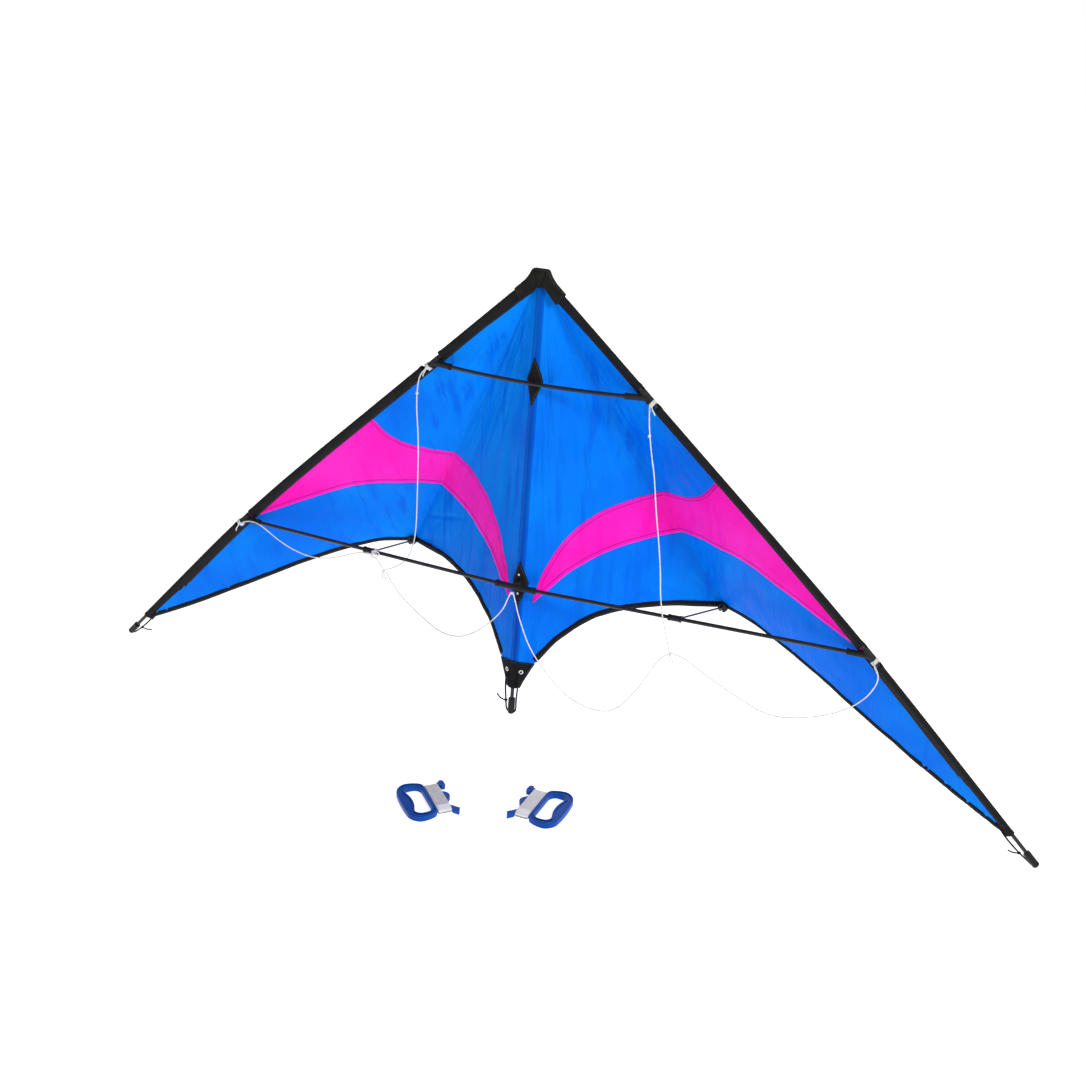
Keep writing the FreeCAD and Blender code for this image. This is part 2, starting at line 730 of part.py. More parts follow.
BRIDLE = {
    "left_upper_bridle_line": [
        (-177.5, -6.4, -162.0), (-184, -15, -169), (-188, -17, -190), (-190, -16, -225), (-187, -15, -270),
        (-188, -14, -325), (-190, -13, -380), (-191, -14, -425), (-196, -15, -456), (-205, -18, -478),
        (-218, -26, -490), (-234.2, -34.6, -495.4),
    ],
    "left_lower_bridle_line": [
        (-529, 0.6, -488), (-517, -9, -479), (-502, -12, -474), (-484, -12, -476),
        (-467, -11, -487), (-446, -10, -500),
        (-420, -10, -510), (-386, -12, -515), (-348, -17, -507), (-317, -23, -493), (-290, -31, -479),
        (-266, -37, -472), (-247, -38, -477), (-239.0, -36.9, -493.2),
    ],
    "left_inner_bridle_line": [
        (-1.6, -65.6, -469.4), (-7, -66, -482), (-14, -61, -499), (-26, -57, -517), (-45, -53, -539),
        (-70, -49, -562), (-100, -44, -579), (-134, -38, -581), (-166, -33, -567), (-196, -28, -550),
        (-218, -33, -527), (-233.6, -36.0, -498.0),
    ],
    "right_upper_bridle_line": [
        (177.5, -6.4, -162.0), (181, -16, -172), (184, -20, -194), (190, -22, -228), (198, -24, -262),
        (204, -27, -306), (213, -30, -355), (220, -33, -400), (223, -35, -436), (229, -37, -469),
        (238, -38, -500), (244.0, -37.4, -523.3),
    ],
    "right_lower_bridle_line": [
        (534.5, 0.6, -489.0), (541, -9, -492), (547, -14, -502), (543, -17, -519), (530, -19, -540),
        (506, -21, -562), (470, -24, -580), (430, -27, -592), (392, -29, -593), (356, -31, -577),
        (322, -34, -560), (288, -36, -541), (264, -36, -527), (247.8, -36.9, -525.6),
    ],
    "right_inner_bridle_line": [
        (1.6, -65.6, -469.4), (6, -66, -483), (9, -62, -504), (15, -58, -528), (24, -55, -555),
        (38, -52, -580), (60, -49, -608), (86, -46, -633), (118, -44, -646), (148, -43, -648),
        (172, -42, -635), (190, -41, -610), (207, -40, -583), (220, -39, -556), (231, -38, -536),
        (242.4, -37.3, -528.0),
    ],
}
TOW_KNOT = {"left": Vec(-237.2, -36, -496.8), "right": Vec(245, -37, -526)}
TOW_KNOT_R = 2.6
TEE_KNOT = Vec(0, -64, -466.5)


def make_bridle():
    for name, rows in BRIDLE.items():
        save(name, cord(points_of(rows), LINE_R, name))
    for side, sag in (("left", (2, -2, -13)), ("right", (3, -1, -14))):
        knot = TOW_KNOT[side]
        body = Part.makeSphere(TOW_KNOT_R, knot)
        for lean in (-1.2, 1.2):
            end = knot + Vec(*sag) + Vec(lean * 2, 0, 0)
            body = body.fuse(rod(knot + Vec(lean, 0, 0), end, LINE_R))
        save(side + "_tow_knot", body.removeSplitter())
    save("bridle_hitches", group(bridle_hitches()))


def bridle_hitches():
    """Turns of line round each fitting, the tee and one spreader, and a knot before the tee."""
    rings = []
    coil = SOCKET_R + LINE_R + 0.15
    for s in (UPPER_FIT_S, LOWER_FIT_S):
        for shift in (8.2, 10.3, 12.4):
            ring = Part.makeTorus(coil, LINE_R, spar_point(s + shift), spar_direction(s + shift))
            rings += [ring, mirrored(ring)]
    for side in ("left", "right"):
        out = to_side(LOWER_SOCKET * -1, side)
        rings.append(Part.makeTorus(coil, LINE_R, TEE_CENTRE + out * 9, out))
    rings.append(Part.makeSphere(2.8, TEE_KNOT))
    axis = to_side(LOWER_SOCKET, "left")
    start = on_lower_spreader(255, "left")
    for shift in (0.0, 2.1, 4.2):
        rings.append(Part.makeTorus(ROD_R + LINE_R + 0.15, LINE_R, start + axis * shift, axis))
    return rings


def tip_sideways():
    """Square to the tip's leading edge, towards the sail."""
    inward, _ = sleeve_axes()
    return unit(inward - SPAR_SECOND * inward.dot(SPAR_SECOND))


def make_tension_cords():
    """Elastic from the eyelet at each corner of the sail over the notch in the end cap."""
    inward, behind = sleeve_axes()
    eyelet_s = 1034.0
    eyelet = spar_point(eyelet_s) + inward * 9.2
    axis = unit(behind * -1)
    hole = rod(eyelet - axis * 5, eyelet + axis * 5, 1.7)
    ring = rod(eyelet - axis * 2.0, eyelet - axis * 0.8, 3.2)
    ring = ring.fuse(rod(eyelet + axis * 0.8, eyelet + axis * 2.0, 3.2))
    save_pair("tip_eyelet", ring.cut(hole))
    cap_back = TIP - SPAR_SECOND * CAP_LENGTH
    side_way = tip_sideways()
    front = SPAR_SECOND.cross(side_way)
    if front.y > 0:
        front = front * -1
    start = eyelet + axis * 3.2
    route = [
        start,
        eyelet + axis * 4.4 + SPAR_SECOND * 12 + side_way * 1.0,
        cap_back + side_way * 9.4 + front * 2.6 - SPAR_SECOND * 4,
        cap_back + side_way * 7.6 + front * 0.8 + SPAR_SECOND * 12,
        TIP + side_way * 6.4 - SPAR_SECOND * 3.0,
        TIP + side_way * 0.4 + SPAR_SECOND * 0.2,
    ]
    tail = route[2] + side_way * 13 - SPAR_SECOND * 6
    for side in ("right", "left"):
        name = side + "_tip_tension_cord"
        save(name, knotted_elastic([to_side(p, side) for p in route], to_side(tail, side), name))
    save("tail_tension_cord", tail_cord())


def knotted_elastic(route, tail, name):
    """An elastic cord with a knot at its route's third point and a free end from there."""
    elastic = cord(route, ELASTIC_R, name)
    knot = Part.makeSphere(2.0, route[2])
    return elastic.fuse(knot).fuse(rod(route[2], tail, ELASTIC_R * 0.8))


def tail_cord():
    end = spine_point(SPINE_END)
    right = [
        Vec(10.5, -51.8, -612.5),
        Vec(11.6, -55.5, -624),
        Vec(11.0, -57.5, -642),
        Vec(9.6, -57.0, -660),
        Vec(8.4, end.y, -676),
        Vec(1.8, end.y, -680.4),
    ]
    route = [Vec(-p.x, p.y, p.z) for p in right] + list(reversed(right))
    return knotted_elastic(route, route[2] + Vec(-13, -3, 9), "tail_tension_cord")


# ---------------------------------------------------------------- winder handles
def rounded_loop(points, share=0.45):
    """A closed outline whose corners are arcs as large as the runs beside them allow."""
    edges = []
    count = len(points)
    for i, here in enumerate(points):
        before = points[i - 1]
        after = points[(i + 1) % count]
        following = points[(i + 2) % count]
        reach = share * min((before - here).Length, (after - here).Length)
        next_reach = share * min((after - here).Length, (following - after).Length)
        back = unit(before - here)
        on = unit(after - here)
        half_turn = (math.pi - back.getAngle(on)) / 2
        radius = reach / math.tan(half_turn)
        middle = here + unit(back + on) * (radius / math.cos(half_turn) - radius)
        edges.append(Part.Arc(here + back * reach, middle, here + on * reach).toShape())
        edges.append(Part.makeLine(here + on * reach, after - on * next_reach))
    return Part.Wire(edges)


def symmetric_loop(rows):
    """A rounded outline from one half's corners, mirrored across the handle's middle."""
    other = [(p, HANDLE_WIDE - q) for p, q in reversed(rows)]
    return rounded_loop([Vec(p, q, 0) for p, q in list(rows) + other])


def plate(points, low, high):
    flat = [Vec(p, q, low) for p, q in points]
    return Part.Face(Part.makePolygon(flat + [flat[0]])).extrude(Z_AXIS * (high - low))


def rim_recess(outline, opening, z):
    """The sunk face between a raised rim round the outside and one round the opening."""
    inside = Part.Face(outline.makeOffset2D(-RIM)).extrude(Z_AXIS * RECESS_DEPTH)
    kept = Part.Face(opening.makeOffset2D(RIM)).extrude(Z_AXIS * RECESS_DEPTH)
    return inside.cut(kept).translated(Z_AXIS * z)


def handle_shape():
    """The handle in its own plan: p runs from the grip to the prongs, q across, z up."""
    outline = symmetric_loop([(BAR_FRONT, 8), (33, 1.5), (16, -1.0), (2.5, 11), (0, 33)])
    opening = symmetric_loop([(40.2, 19), (34, 11), (19, 11), (12.5, 18), (18.5, 38)])
    frame = Part.Face(outline).extrude(Z_AXIS * HANDLE_THICK)
    frame = frame.cut(Part.Face(opening).extrude(Z_AXIS * HANDLE_THICK))
    flat = [edge for edge in frame.Edges if edge.BoundBox.ZLength < 0.01]
    frame = frame.makeFillet(1.1, flat)
    for z in (0.0, HANDLE_THICK - RECESS_DEPTH):
        frame = frame.cut(rim_recess(outline, opening, z))
    low = (HANDLE_THICK - NECK_THICK) / 2
    high = low + NECK_THICK
    neck = plate([(44, 13), (NECK_END + 1, 13), (NECK_END + 1, 83), (44, 83)], low, high)
    neck = neck.makeFillet(1.7, [edge for edge in neck.Edges if edge.BoundBox.XLength > 20])
    return frame.fuse(neck).fuse(prongs(low - 1.2, high + 1.2)).removeSplitter()


def prongs(low, high):
    """A slit hook for the line's end, a half-round stop and a long prong that leans out."""
    root = NECK_END + 0.5
    head = [(72, 5), (77, 5), (79, 8), (79, 19), (77, 23), (72, 23)]
    hook = plate([(root, 9), (71, 9)] + head + [(71, 18), (root, 18)], low, high)
    slit = Part.makeBox(9, 1.6, 20, Vec(72.5, 13.2, low - 5))
    stop = Part.makeCylinder(13, high - low, Vec(63.5, HANDLE_WIDE / 2, low))
    stop = stop.common(Part.makeBox(40, 60, 40, Vec(root, HANDLE_WIDE / 2 - 30, low - 5)))
    long_prong = plate([(root, 73), (80, 86), (75.5, 96), (root, 88)], low, high)
    return hook.cut(slit).fuse(stop).fuse(long_prong)


def winding_shape():
    """The wound flying line, as one closed band round the neck."""
    low = (HANDLE_THICK - WINDING_THICK) / 2
    band = Part.makeBox(NECK_END - 46.6, 76, WINDING_THICK, Vec(46.4, 10, low))
    turns = [edge for edge in band.Edges if abs(edge.tangentAt(0).x) > 0.9]
    band = band.makeFillet(4.0, turns)
    gap = 0.2
    core_low = (HANDLE_THICK - NECK_THICK) / 2 - gap
    core = Part.makeBox(40, 70 + 2 * gap, NECK_THICK + 2 * gap, Vec(40, 13 - gap, core_low))
    return band.cut(core)


def lay_down(shape, corner, p_way):
    """Put a handle's plan on the floor, with its p axis along p_way. The left one is turned over."""
    angle = math.degrees(math.atan2(p_way.y, p_way.x))
    moved = shape.copy()
    moved.Placement = FreeCAD.Placement(corner, FreeCAD.Rotation(Z_AXIS, angle))
    return moved


def make_handles():
    handle = handle_shape()
    line = winding_shape()
    flip = Vec(0, 1, 0)
    left_corner = Vec(-123, -215, FLOOR_Z)
    right_corner = Vec(141, -109, FLOOR_Z)
    left_way = Vec(0.7, 0.714, 0)
    right_way = Vec(-1, 0, 0)
    save("right_handle", lay_down(handle, right_corner, right_way))
    save("right_flying_line", lay_down(line, right_corner, right_way))
    turned = [shape.mirror(Vec(0, 0, 0), flip) for shape in (handle, line)]
    save("left_handle", lay_down(turned[0], left_corner, left_way))
    save("left_flying_line", lay_down(turned[1], left_corner, left_way))


make_leading_edge_rods()
make_spine()
make_spreaders()
make_spar_fittings()
make_centre_tee()
make_standoffs()
make_sail_panels()
make_sleeves()
make_patches()
make_spine_pocket()
make_nose_patch()
make_bridle()
make_tension_cords()
make_handles()
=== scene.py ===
import math
import random

import bpy
from mathutils import Matrix, Vector, noise


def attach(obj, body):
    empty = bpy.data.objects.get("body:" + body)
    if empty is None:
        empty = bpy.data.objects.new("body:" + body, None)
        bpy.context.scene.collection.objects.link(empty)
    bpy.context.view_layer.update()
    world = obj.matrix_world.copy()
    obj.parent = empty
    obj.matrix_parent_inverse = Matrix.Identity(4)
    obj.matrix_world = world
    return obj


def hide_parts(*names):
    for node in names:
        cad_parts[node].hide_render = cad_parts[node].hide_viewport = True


# A two-line delta stunt kite and its pair of winder handles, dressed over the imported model.
# Shapes are worked out in millimetres in the row frame: +Z up, the front of the sail faces -Y,
# the nose is the origin. Meshes and curves are written in metres.

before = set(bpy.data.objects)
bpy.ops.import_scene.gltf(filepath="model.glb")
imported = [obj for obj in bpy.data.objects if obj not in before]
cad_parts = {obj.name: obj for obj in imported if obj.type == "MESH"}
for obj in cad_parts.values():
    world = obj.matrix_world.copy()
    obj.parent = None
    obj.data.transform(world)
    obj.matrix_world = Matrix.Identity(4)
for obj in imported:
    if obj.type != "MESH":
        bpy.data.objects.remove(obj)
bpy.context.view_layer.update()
MM = 0.001
SEAM = 6.0 * MM
SIDES = ("left", "right")


# ---- small helpers
def sign_of(side):
    return -1.0 if side == "left" else 1.0


def which_side(x):
    return "left" if x < 0 else "right"


def to_side(point, side):
    return Vector((point.x * sign_of(side), point.y, point.z))


def unit(vector):
    return vector.normalized()


def fade(x, low, high):
    """0 below low, 1 above high, smooth between."""
    t = min(max((x - low) / (high - low), 0.0), 1.0)
    return t * t * (3 - 2 * t)


def rough(x, y, z):
    return noise.noise(Vector((x, y, z)))


def smooth(knots, x):
    """A smooth curve through the knots, by cubic Hermite spans."""
    if x <= knots[0][0]:
        return knots[0][1]
    if x >= knots[-1][0]:
        return knots[-1][1]
    count = len(knots)
    index = max(i for i in range(count - 1) if knots[i][0] <= x)

    def slope(i):
        low = max(i - 1, 0)
        high = min(i + 1, count - 1)
        return (knots[high][1] - knots[low][1]) / (knots[high][0] - knots[low][0])

    x0, y0 = knots[index]
    x1, y1 = knots[index + 1]
    span = x1 - x0
    t = (x - x0) / span
    start = (1 + 2 * t) * (1 - t) ** 2 * y0 + t * (1 - t) ** 2 * span * slope(index)
    end = t * t * (3 - 2 * t) * y1 + t * t * (t - 1) * span * slope(index + 1)
    return start + end


def straight(knots, x):
    for (x0, y0), (x1, y1) in zip(knots, knots[1:]):
        if x <= x1:
            return y0 + (y1 - y0) * (x - x0) / (x1 - x0)
    return knots[-1][1]


def steps(low, high, count):
    return [low + (high - low) * i / count for i in range(count + 1)]


# ---- materials
def srgb(red, green, blue):
    def linear(c):
        c = c / 255.0
        return c / 12.92 if c <= 0.04045 else ((c + 0.055) / 1.055) ** 2.4

    return (linear(red), linear(green), linear(blue), 1.0)


class Finish:
    """A procedural material: a principled shader and the nodes that feed it."""

    def __init__(self, name, roughness, **sockets):
        self.material = bpy.data.materials.new(name)
        self.material.use_nodes = True
        self.tree = self.material.node_tree
        self.shader = self.tree.nodes["Principled BSDF"]
        self.shader.inputs["Roughness"].default_value = roughness
        for socket, value in sockets.items():
            self.shader.inputs[socket.replace("_", " ")].default_value = value
        self.place = self.node("ShaderNodeTexCoord").outputs["Object"]
        self.height = None

    def node(self, kind, inputs=(), **settings):
        """A new node with settings, and each (name or number, value or socket) joined to it."""
        node = self.tree.nodes.new(kind)
        for key, value in settings.items():
            setattr(node, key, value)
        for socket, value in inputs:
            self.join(value, node.inputs[socket])
        return node

    def join(self, value, socket):
        if isinstance(value, bpy.types.NodeSocket):
            self.tree.links.new(value, socket)
        else:
            socket.default_value = value

    def math(self, operation, a, b=0.0):
        return self.node("ShaderNodeMath", [(0, a), (1, b)], operation=operation).outputs[0]

    def away(self, value, at):
        return self.math("ABSOLUTE", self.math("SUBTRACT", value, at))

    def axes(self, source):
        return self.node("ShaderNodeSeparateXYZ", [(0, source)]).outputs

    def stretched(self, source, scale, turn=(0, 0, 0)):
        inputs = [("Vector", source), ("Scale", scale), ("Rotation", turn)]
        return self.node("ShaderNodeMapping", inputs).outputs[0]

    def noise(self, scale, detail=3.0, source=None):
        inputs = [("Vector", source or self.place), ("Scale", scale), ("Detail", detail)]
        return self.node("ShaderNodeTexNoise", inputs).outputs["Fac"]

    def ramp(self, value, low, high, start=0.0, end=1.0):
        inputs = [("Value", value), ("From Min", low), ("From Max", high)]
        inputs += [("To Min", start), ("To Max", end)]
        return self.node("ShaderNodeMapRange", inputs, interpolation_type="SMOOTHSTEP").outputs["Result"]

    def mix(self, factor, a, b):
        inputs = [("Factor", factor), ("A", a), ("B", b)]
        return self.node("ShaderNodeMix", inputs, data_type="RGBA").outputs["Result"]

    def lines(self, value, pitch, width):
        """1 on thin lines every pitch along value, soft at their edges."""
        share = self.math("FRACT", self.math("DIVIDE", value, pitch))
        return self.ramp(self.away(share, 0.5), 0.5 - width / pitch, 0.5)

    def dashes(self, along, across, at, pitch=3.4 * MM, long=2.4 * MM, wide=0.45 * MM):
        """A row of stitches at distance at across, running along."""
        line = self.ramp(self.away(across, at), wide * 0.6, wide * 1.2, 1.0, 0.0)
        share = self.math("FRACT", self.math("DIVIDE", along, pitch))
        half = 0.5 * long / pitch
        on = self.ramp(self.away(share, 0.5), half - 0.06, half + 0.06, 1.0, 0.0)
        return self.math("MULTIPLY", line, on)

    def colour(self, value):
        self.join(value, self.shader.inputs["Base Color"])

    def shine(self, value):
        self.join(value, self.shader.inputs["Roughness"])

    def bump(self, height, distance, strength=1.0):
        inputs = [("Strength", strength), ("Distance", distance), ("Height", height)]
        if self.height is not None:
            inputs.append(("Normal", self.height))
        self.height = self.node("ShaderNodeBump", inputs).outputs[0]
        self.join(self.height, self.shader.inputs["Normal"])

    def uv(self, name):
        return self.axes(self.node("ShaderNodeUVMap", uv_map=name).outputs[0])


def ripstop(name, bright, dark, seams=False, creases=1.0, spine=False):
    """Thin coated nylon: a fine reinforcing grid, soft mottling and long pressed creases, with painted
    shade darkening their valleys.
    """
    f = Finish(name, 0.46, Specular_IOR_Level=0.04)
    x, _, z = f.axes(f.place)
    grid = f.math("MAXIMUM", f.lines(x, 5.2 * MM, 0.5 * MM), f.lines(z, 5.2 * MM, 0.5 * MM))
    weave = f.math("MULTIPLY", f.lines(x, 0.9 * MM, 0.4 * MM), f.lines(z, 0.9 * MM, 0.4 * MM))
    cloud = f.noise(5.0, 4.0)
    long_fold_and_shade = f.noise(1.0, 5.0, f.stretched(f.place, (60, 20, 7)))
    base = f.mix(f.ramp(cloud, 0.3, 0.7), dark, bright)
    # Painted shade: the cloth is darkened towards the dark colour along the valleys of the long pressed
    # creases.
    base = f.mix(f.ramp(long_fold_and_shade, 0.47, 0.33, 0.0, 0.8 * creases), base, dark)
    base = f.mix(f.math("MULTIPLY", grid, 0.16), base, bright)
    if spine:
        base = spine_shadow(f, x, base)
    if seams:
        top, bottom, _ = f.uv("seam")
        along, _, _ = f.uv("run")
        stitch = f.math("MAXIMUM", f.dashes(along, top, SEAM), f.dashes(along, bottom, SEAM))
        near = f.math("MINIMUM", top, bottom)
        thread = f.ramp(f.away(near, SEAM), 0.5 * MM, 1.1 * MM, 0.45, 0.0)
        base = f.mix(thread, base, srgb(150, 10, 110))
        base = f.mix(f.math("MULTIPLY", stitch, 0.6), base, srgb(96, 6, 70))
        f.bump(f.ramp(near, SEAM - 0.8 * MM, SEAM + 0.8 * MM, 1.0, 0.0), 0.3 * MM)
        f.bump(stitch, -0.15 * MM)
    f.colour(base)
    f.shine(f.ramp(cloud, 0.2, 0.8, 0.38, 0.56))
    f.bump(grid, 0.06 * MM, 0.7)
    f.bump(weave, 0.03 * MM, 0.5)
    f.bump(long_fold_and_shade, 4.0 * MM * creases, 0.8)
    f.bump(f.noise(1.0, 4.0, f.stretched(f.place, (120, 50, 45))), 1.5 * MM, 0.7)
    return f.material


def spine_shadow(f, x, base):
    """The spine and its pocket, behind thin cloth: a dark band with a darker line at each edge."""
    away = f.math("ABSOLUTE", x)
    band = f.ramp(away, 5.6 * MM, 6.8 * MM, 0.42, 0.0)
    edge = f.ramp(f.away(away, 5.8 * MM), 0.5 * MM, 1.4 * MM, 0.6, 0.0)
    rod_side = f.ramp(f.away(x, 2.2 * MM), 1.6 * MM, 3.2 * MM, 0.35, 0.0)
    shade = f.math("MAXIMUM", f.math("MAXIMUM", band, edge), f.math("ADD", band, rod_side))
    return f.mix(shade, base, srgb(0, 56, 160))


def tape(name, colour, light, pitch, stitch_at=None):
    """Woven black polyester: fine ribs, dust and, where it has a run, a row of stitches."""
    f = Finish(name, 0.66, Specular_IOR_Level=0.12)
    x, y, z = f.axes(f.place)
    diagonal = f.math("ADD", x, z)
    other = f.math("SUBTRACT", f.math("ADD", x, y), z)
    ribs = f.math("MAXIMUM", f.lines(diagonal, pitch, pitch * 0.35), f.lines(other, pitch, pitch * 0.35))
    dust = f.noise(60.0, 5.0)
    base = f.mix(f.ramp(dust, 0.35, 0.75), colour, light)
    base = f.mix(f.math("MULTIPLY", ribs, 0.3), base, light)
    if stitch_at is not None:
        along, across, _ = f.uv("run")
        stitch = f.dashes(along, across, stitch_at)
        base = f.mix(f.math("MULTIPLY", stitch, 0.6), base, (0.09, 0.09, 0.09, 1.0))
        f.bump(stitch, 0.2 * MM)
    f.colour(base)
    f.shine(f.ramp(dust, 0.2, 0.8, 0.6, 0.85))
    f.bump(ribs, 0.12 * MM, 0.6)
    f.bump(f.noise(45.0, 3.0), 1.6 * MM, 0.5)
    return f.material


def moulded(name, colour, light, roughness, coat=0.0, grain=900.0, gloss=0.25):
    """Moulded plastic or rubber: fine grain, handling marks and slightly polished places."""
    f = Finish(name, roughness, Coat_Weight=coat, Coat_Roughness=0.25, Specular_IOR_Level=gloss)
    marks = f.noise(22.0, 6.0)
    scratch = f.noise(1.0, 5.0, f.stretched(f.place, (30, 900, 300), (0.3, 0.2, 0.7)))
    base = f.mix(f.ramp(marks, 0.3, 0.75), colour, light)
    base = f.mix(f.ramp(scratch, 0.66, 0.8, 0.0, 0.35), base, light)
    f.colour(base)
    f.shine(f.ramp(marks, 0.25, 0.75, roughness - 0.1, roughness + 0.14))
    f.bump(f.noise(grain, 2.0), 0.05 * MM, 0.6)
    f.bump(scratch, 0.03 * MM, 0.3)
    return f.material


def carbon(name):
    """A pultruded tube: long fibres under a satin skin."""
    f = Finish(name, 0.34, Coat_Weight=0.12, Coat_Roughness=0.25, Specular_IOR_Level=0.3)
    fibre = f.noise(1.0, 6.0, f.stretched(f.place, (40, 1500, 1500), (0.0, 0.06, 0.0)))
    wear = f.noise(30.0, 5.0)
    f.colour(f.mix(f.ramp(fibre, 0.3, 0.8), srgb(20, 20, 21), srgb(48, 47, 46)))
    f.shine(f.ramp(wear, 0.3, 0.7, 0.28, 0.46))
    f.bump(fibre, 0.04 * MM, 0.4)
    return f.material


def plated(name):
    f = Finish(name, 0.22, Metallic=1.0)
    marks = f.noise(400.0, 4.0)
    f.colour(f.mix(f.ramp(marks, 0.3, 0.75), srgb(225, 225, 228), srgb(165, 166, 170)))
    f.shine(f.ramp(marks, 0.3, 0.75, 0.16, 0.36))
    f.bump(marks, 0.03 * MM, 0.4)
    return f.material


def braid(name, colour, shade, pitch):
    """A braided line: small crossing strands seen as slanting ribs in both directions."""
    f = Finish(name, 0.7, Specular_IOR_Level=0.15)
    x, y, z = f.axes(f.place)
    one = f.lines(f.math("ADD", f.math("ADD", x, y), z), pitch, pitch * 0.3)
    two = f.lines(f.math("SUBTRACT", f.math("SUBTRACT", x, y), z), pitch, pitch * 0.3)
    ribs = f.math("MAXIMUM", one, two)
    fuzz = f.noise(500.0, 4.0)
    base = f.mix(f.ramp(fuzz, 0.3, 0.7), colour, shade)
    # The grooves between the strands are mixed towards the second colour: painted shade on the white lines,
    # a lighter tone on the black elastic.
    f.colour(f.mix(f.math("MULTIPLY", ribs, 0.45), base, shade))
    f.bump(ribs, -0.15 * MM, 0.7)
    f.bump(fuzz, 0.1 * MM, 0.4)
    return f.material


BLUE = srgb(0, 136, 248)
BLUE_DARK = srgb(0, 106, 232)
PINK = srgb(255, 46, 200)
PINK_DARK = srgb(252, 14, 182)
BLACK = srgb(20, 20, 21)
BLACK_LIGHT = srgb(34, 34, 36)
WHITE = srgb(252, 251, 249)
WHITE_DARK = srgb(222, 220, 218)

SAIL_BLUE = ripstop("sail_blue", BLUE, BLUE_DARK, spine=True)
SAIL_PINK = ripstop("sail_pink", PINK, PINK_DARK, seams=True, creases=0.7)
POCKET_BLUE = ripstop("pocket_blue", srgb(0, 112, 232), srgb(0, 86, 204), creases=0.5)
SLEEVE_BLACK = tape("sleeve_black", BLACK, BLACK_LIGHT, 1.1 * MM, stitch_at=2.0 * MM)
BINDING_BLACK = tape("binding_black", srgb(14, 14, 15), srgb(28, 28, 30), 0.9 * MM, stitch_at=2.6 * MM)
WEBBING_BLACK = tape("webbing_black", srgb(17, 18, 16), srgb(36, 37, 34), 2.0 * MM, stitch_at=4.0 * MM)
PATCH_BLACK = tape("patch_black", srgb(14, 14, 15), srgb(27, 27, 29), 1.2 * MM, stitch_at=2.0 * MM)
CARBON = carbon("rod_black")
RUBBER = moulded("fitting_black", srgb(17, 17, 18), srgb(36, 36, 38), 0.5)
CLIP_BLACK = moulded("clip_black", srgb(15, 15, 16), srgb(36, 36, 38), 0.4, coat=0.08)
STANDOFF_BLACK = moulded("standoff_black", srgb(18, 18, 26), srgb(38, 38, 52), 0.34, coat=0.1)
CAP_BLACK = moulded("cap_black", srgb(18, 18, 19), srgb(42, 42, 44), 0.45)
FERRULE = plated("ferrule_grey")
NICKEL = plated("eyelet_metal")
BRIDLE_WHITE = braid("bridle_white", WHITE, WHITE_DARK, 1.1 * MM)
ELASTIC_BLACK = braid("elastic_black", srgb(14, 14, 15), srgb(34, 34, 36), 0.9 * MM)
HANDLE_BLUE = moulded("handle_blue", srgb(0, 70, 158), srgb(0, 82, 178), 0.34, coat=0.06, grain=700.0,
                      gloss=0.1)
LINE_WHITE = braid("winding_white", srgb(255, 255, 254), srgb(240, 239, 238), 0.7 * MM)
TAPE_WHITE = moulded("winding_tape", srgb(254, 254, 253), srgb(244, 244, 243), 0.3, coat=0.3)


# ---- building
def finish_piece(obj, material, body="kite"):
    obj.data.materials.append(material)
    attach(obj, body)
    return obj


def mesh_piece(name, points, faces, material, slot, body="kite", thick=None, run=(), seam=()):
    """A mesh from millimetre points. run and seam are UV layers, one (u, v) per point."""
    mesh = bpy.data.meshes.new(name)
    mesh.from_pydata([p * MM for p in points], [], faces)
    for uv_name, values in (("run", run), ("seam", seam)):
        if not values:
            continue
        layer = mesh.uv_layers.new(name=uv_name)
        for loop in mesh.loops:
            u, v = values[loop.vertex_index]
            layer.data[loop.index].uv = (u * MM, v * MM)
    mesh.update()
    mesh.shade_smooth()
    obj = bpy.data.objects.new(name, mesh)
    bpy.context.scene.collection.objects.link(obj)
    if thick:
        solid = obj.modifiers.new("thickness", "SOLIDIFY")
        solid.thickness = thick * MM
        solid.offset = 0.0
        solid.use_even_offset = False
    return finish_piece(obj, material, body)


def grid_faces(rows, columns, closed=False):
    faces = []
    for i in range(rows - 1):
        for j in range(columns if closed else columns - 1):
            k = (j + 1) % columns
            faces.append((i * columns + j, i * columns + k, (i + 1) * columns + k, (i + 1) * columns + j))
    return faces


def grid_piece(name, grid, material, slot, **options):
    columns = len(grid[0])
    points = [p for row in grid for p in row]
    keep = options.pop("keep", None)
    faces = grid_faces(len(grid), columns, options.pop("closed", False))
    if keep:
        faces = [face for face in faces if keep(face)]
    return mesh_piece(name, points, faces, material, slot, **options)


def curve_object(name, runs, radius, fine):
    """One object of smooth round lines. runs is a list of lists of millimetre points."""
    data = bpy.data.curves.new(name, "CURVE")
    data.dimensions = "3D"
    data.bevel_depth = radius * MM
    data.bevel_resolution = 3
    data.resolution_u = fine
    data.use_fill_caps = True
    for points in runs:
        spline = data.splines.new("NURBS")
        spline.points.add(len(points) - 1)
        for item, point in zip(spline.points, points):
            item.co = (point[0] * MM, point[1] * MM, point[2] * MM, 1.0)
        spline.order_u = 3
        spline.use_endpoint_u = True
    obj = bpy.data.objects.new(name, data)
    bpy.context.scene.collection.objects.link(obj)
    return obj


def curve_piece(name, runs, radius, material, fine=6):
    return finish_piece(curve_object(name, runs, radius, fine), material)


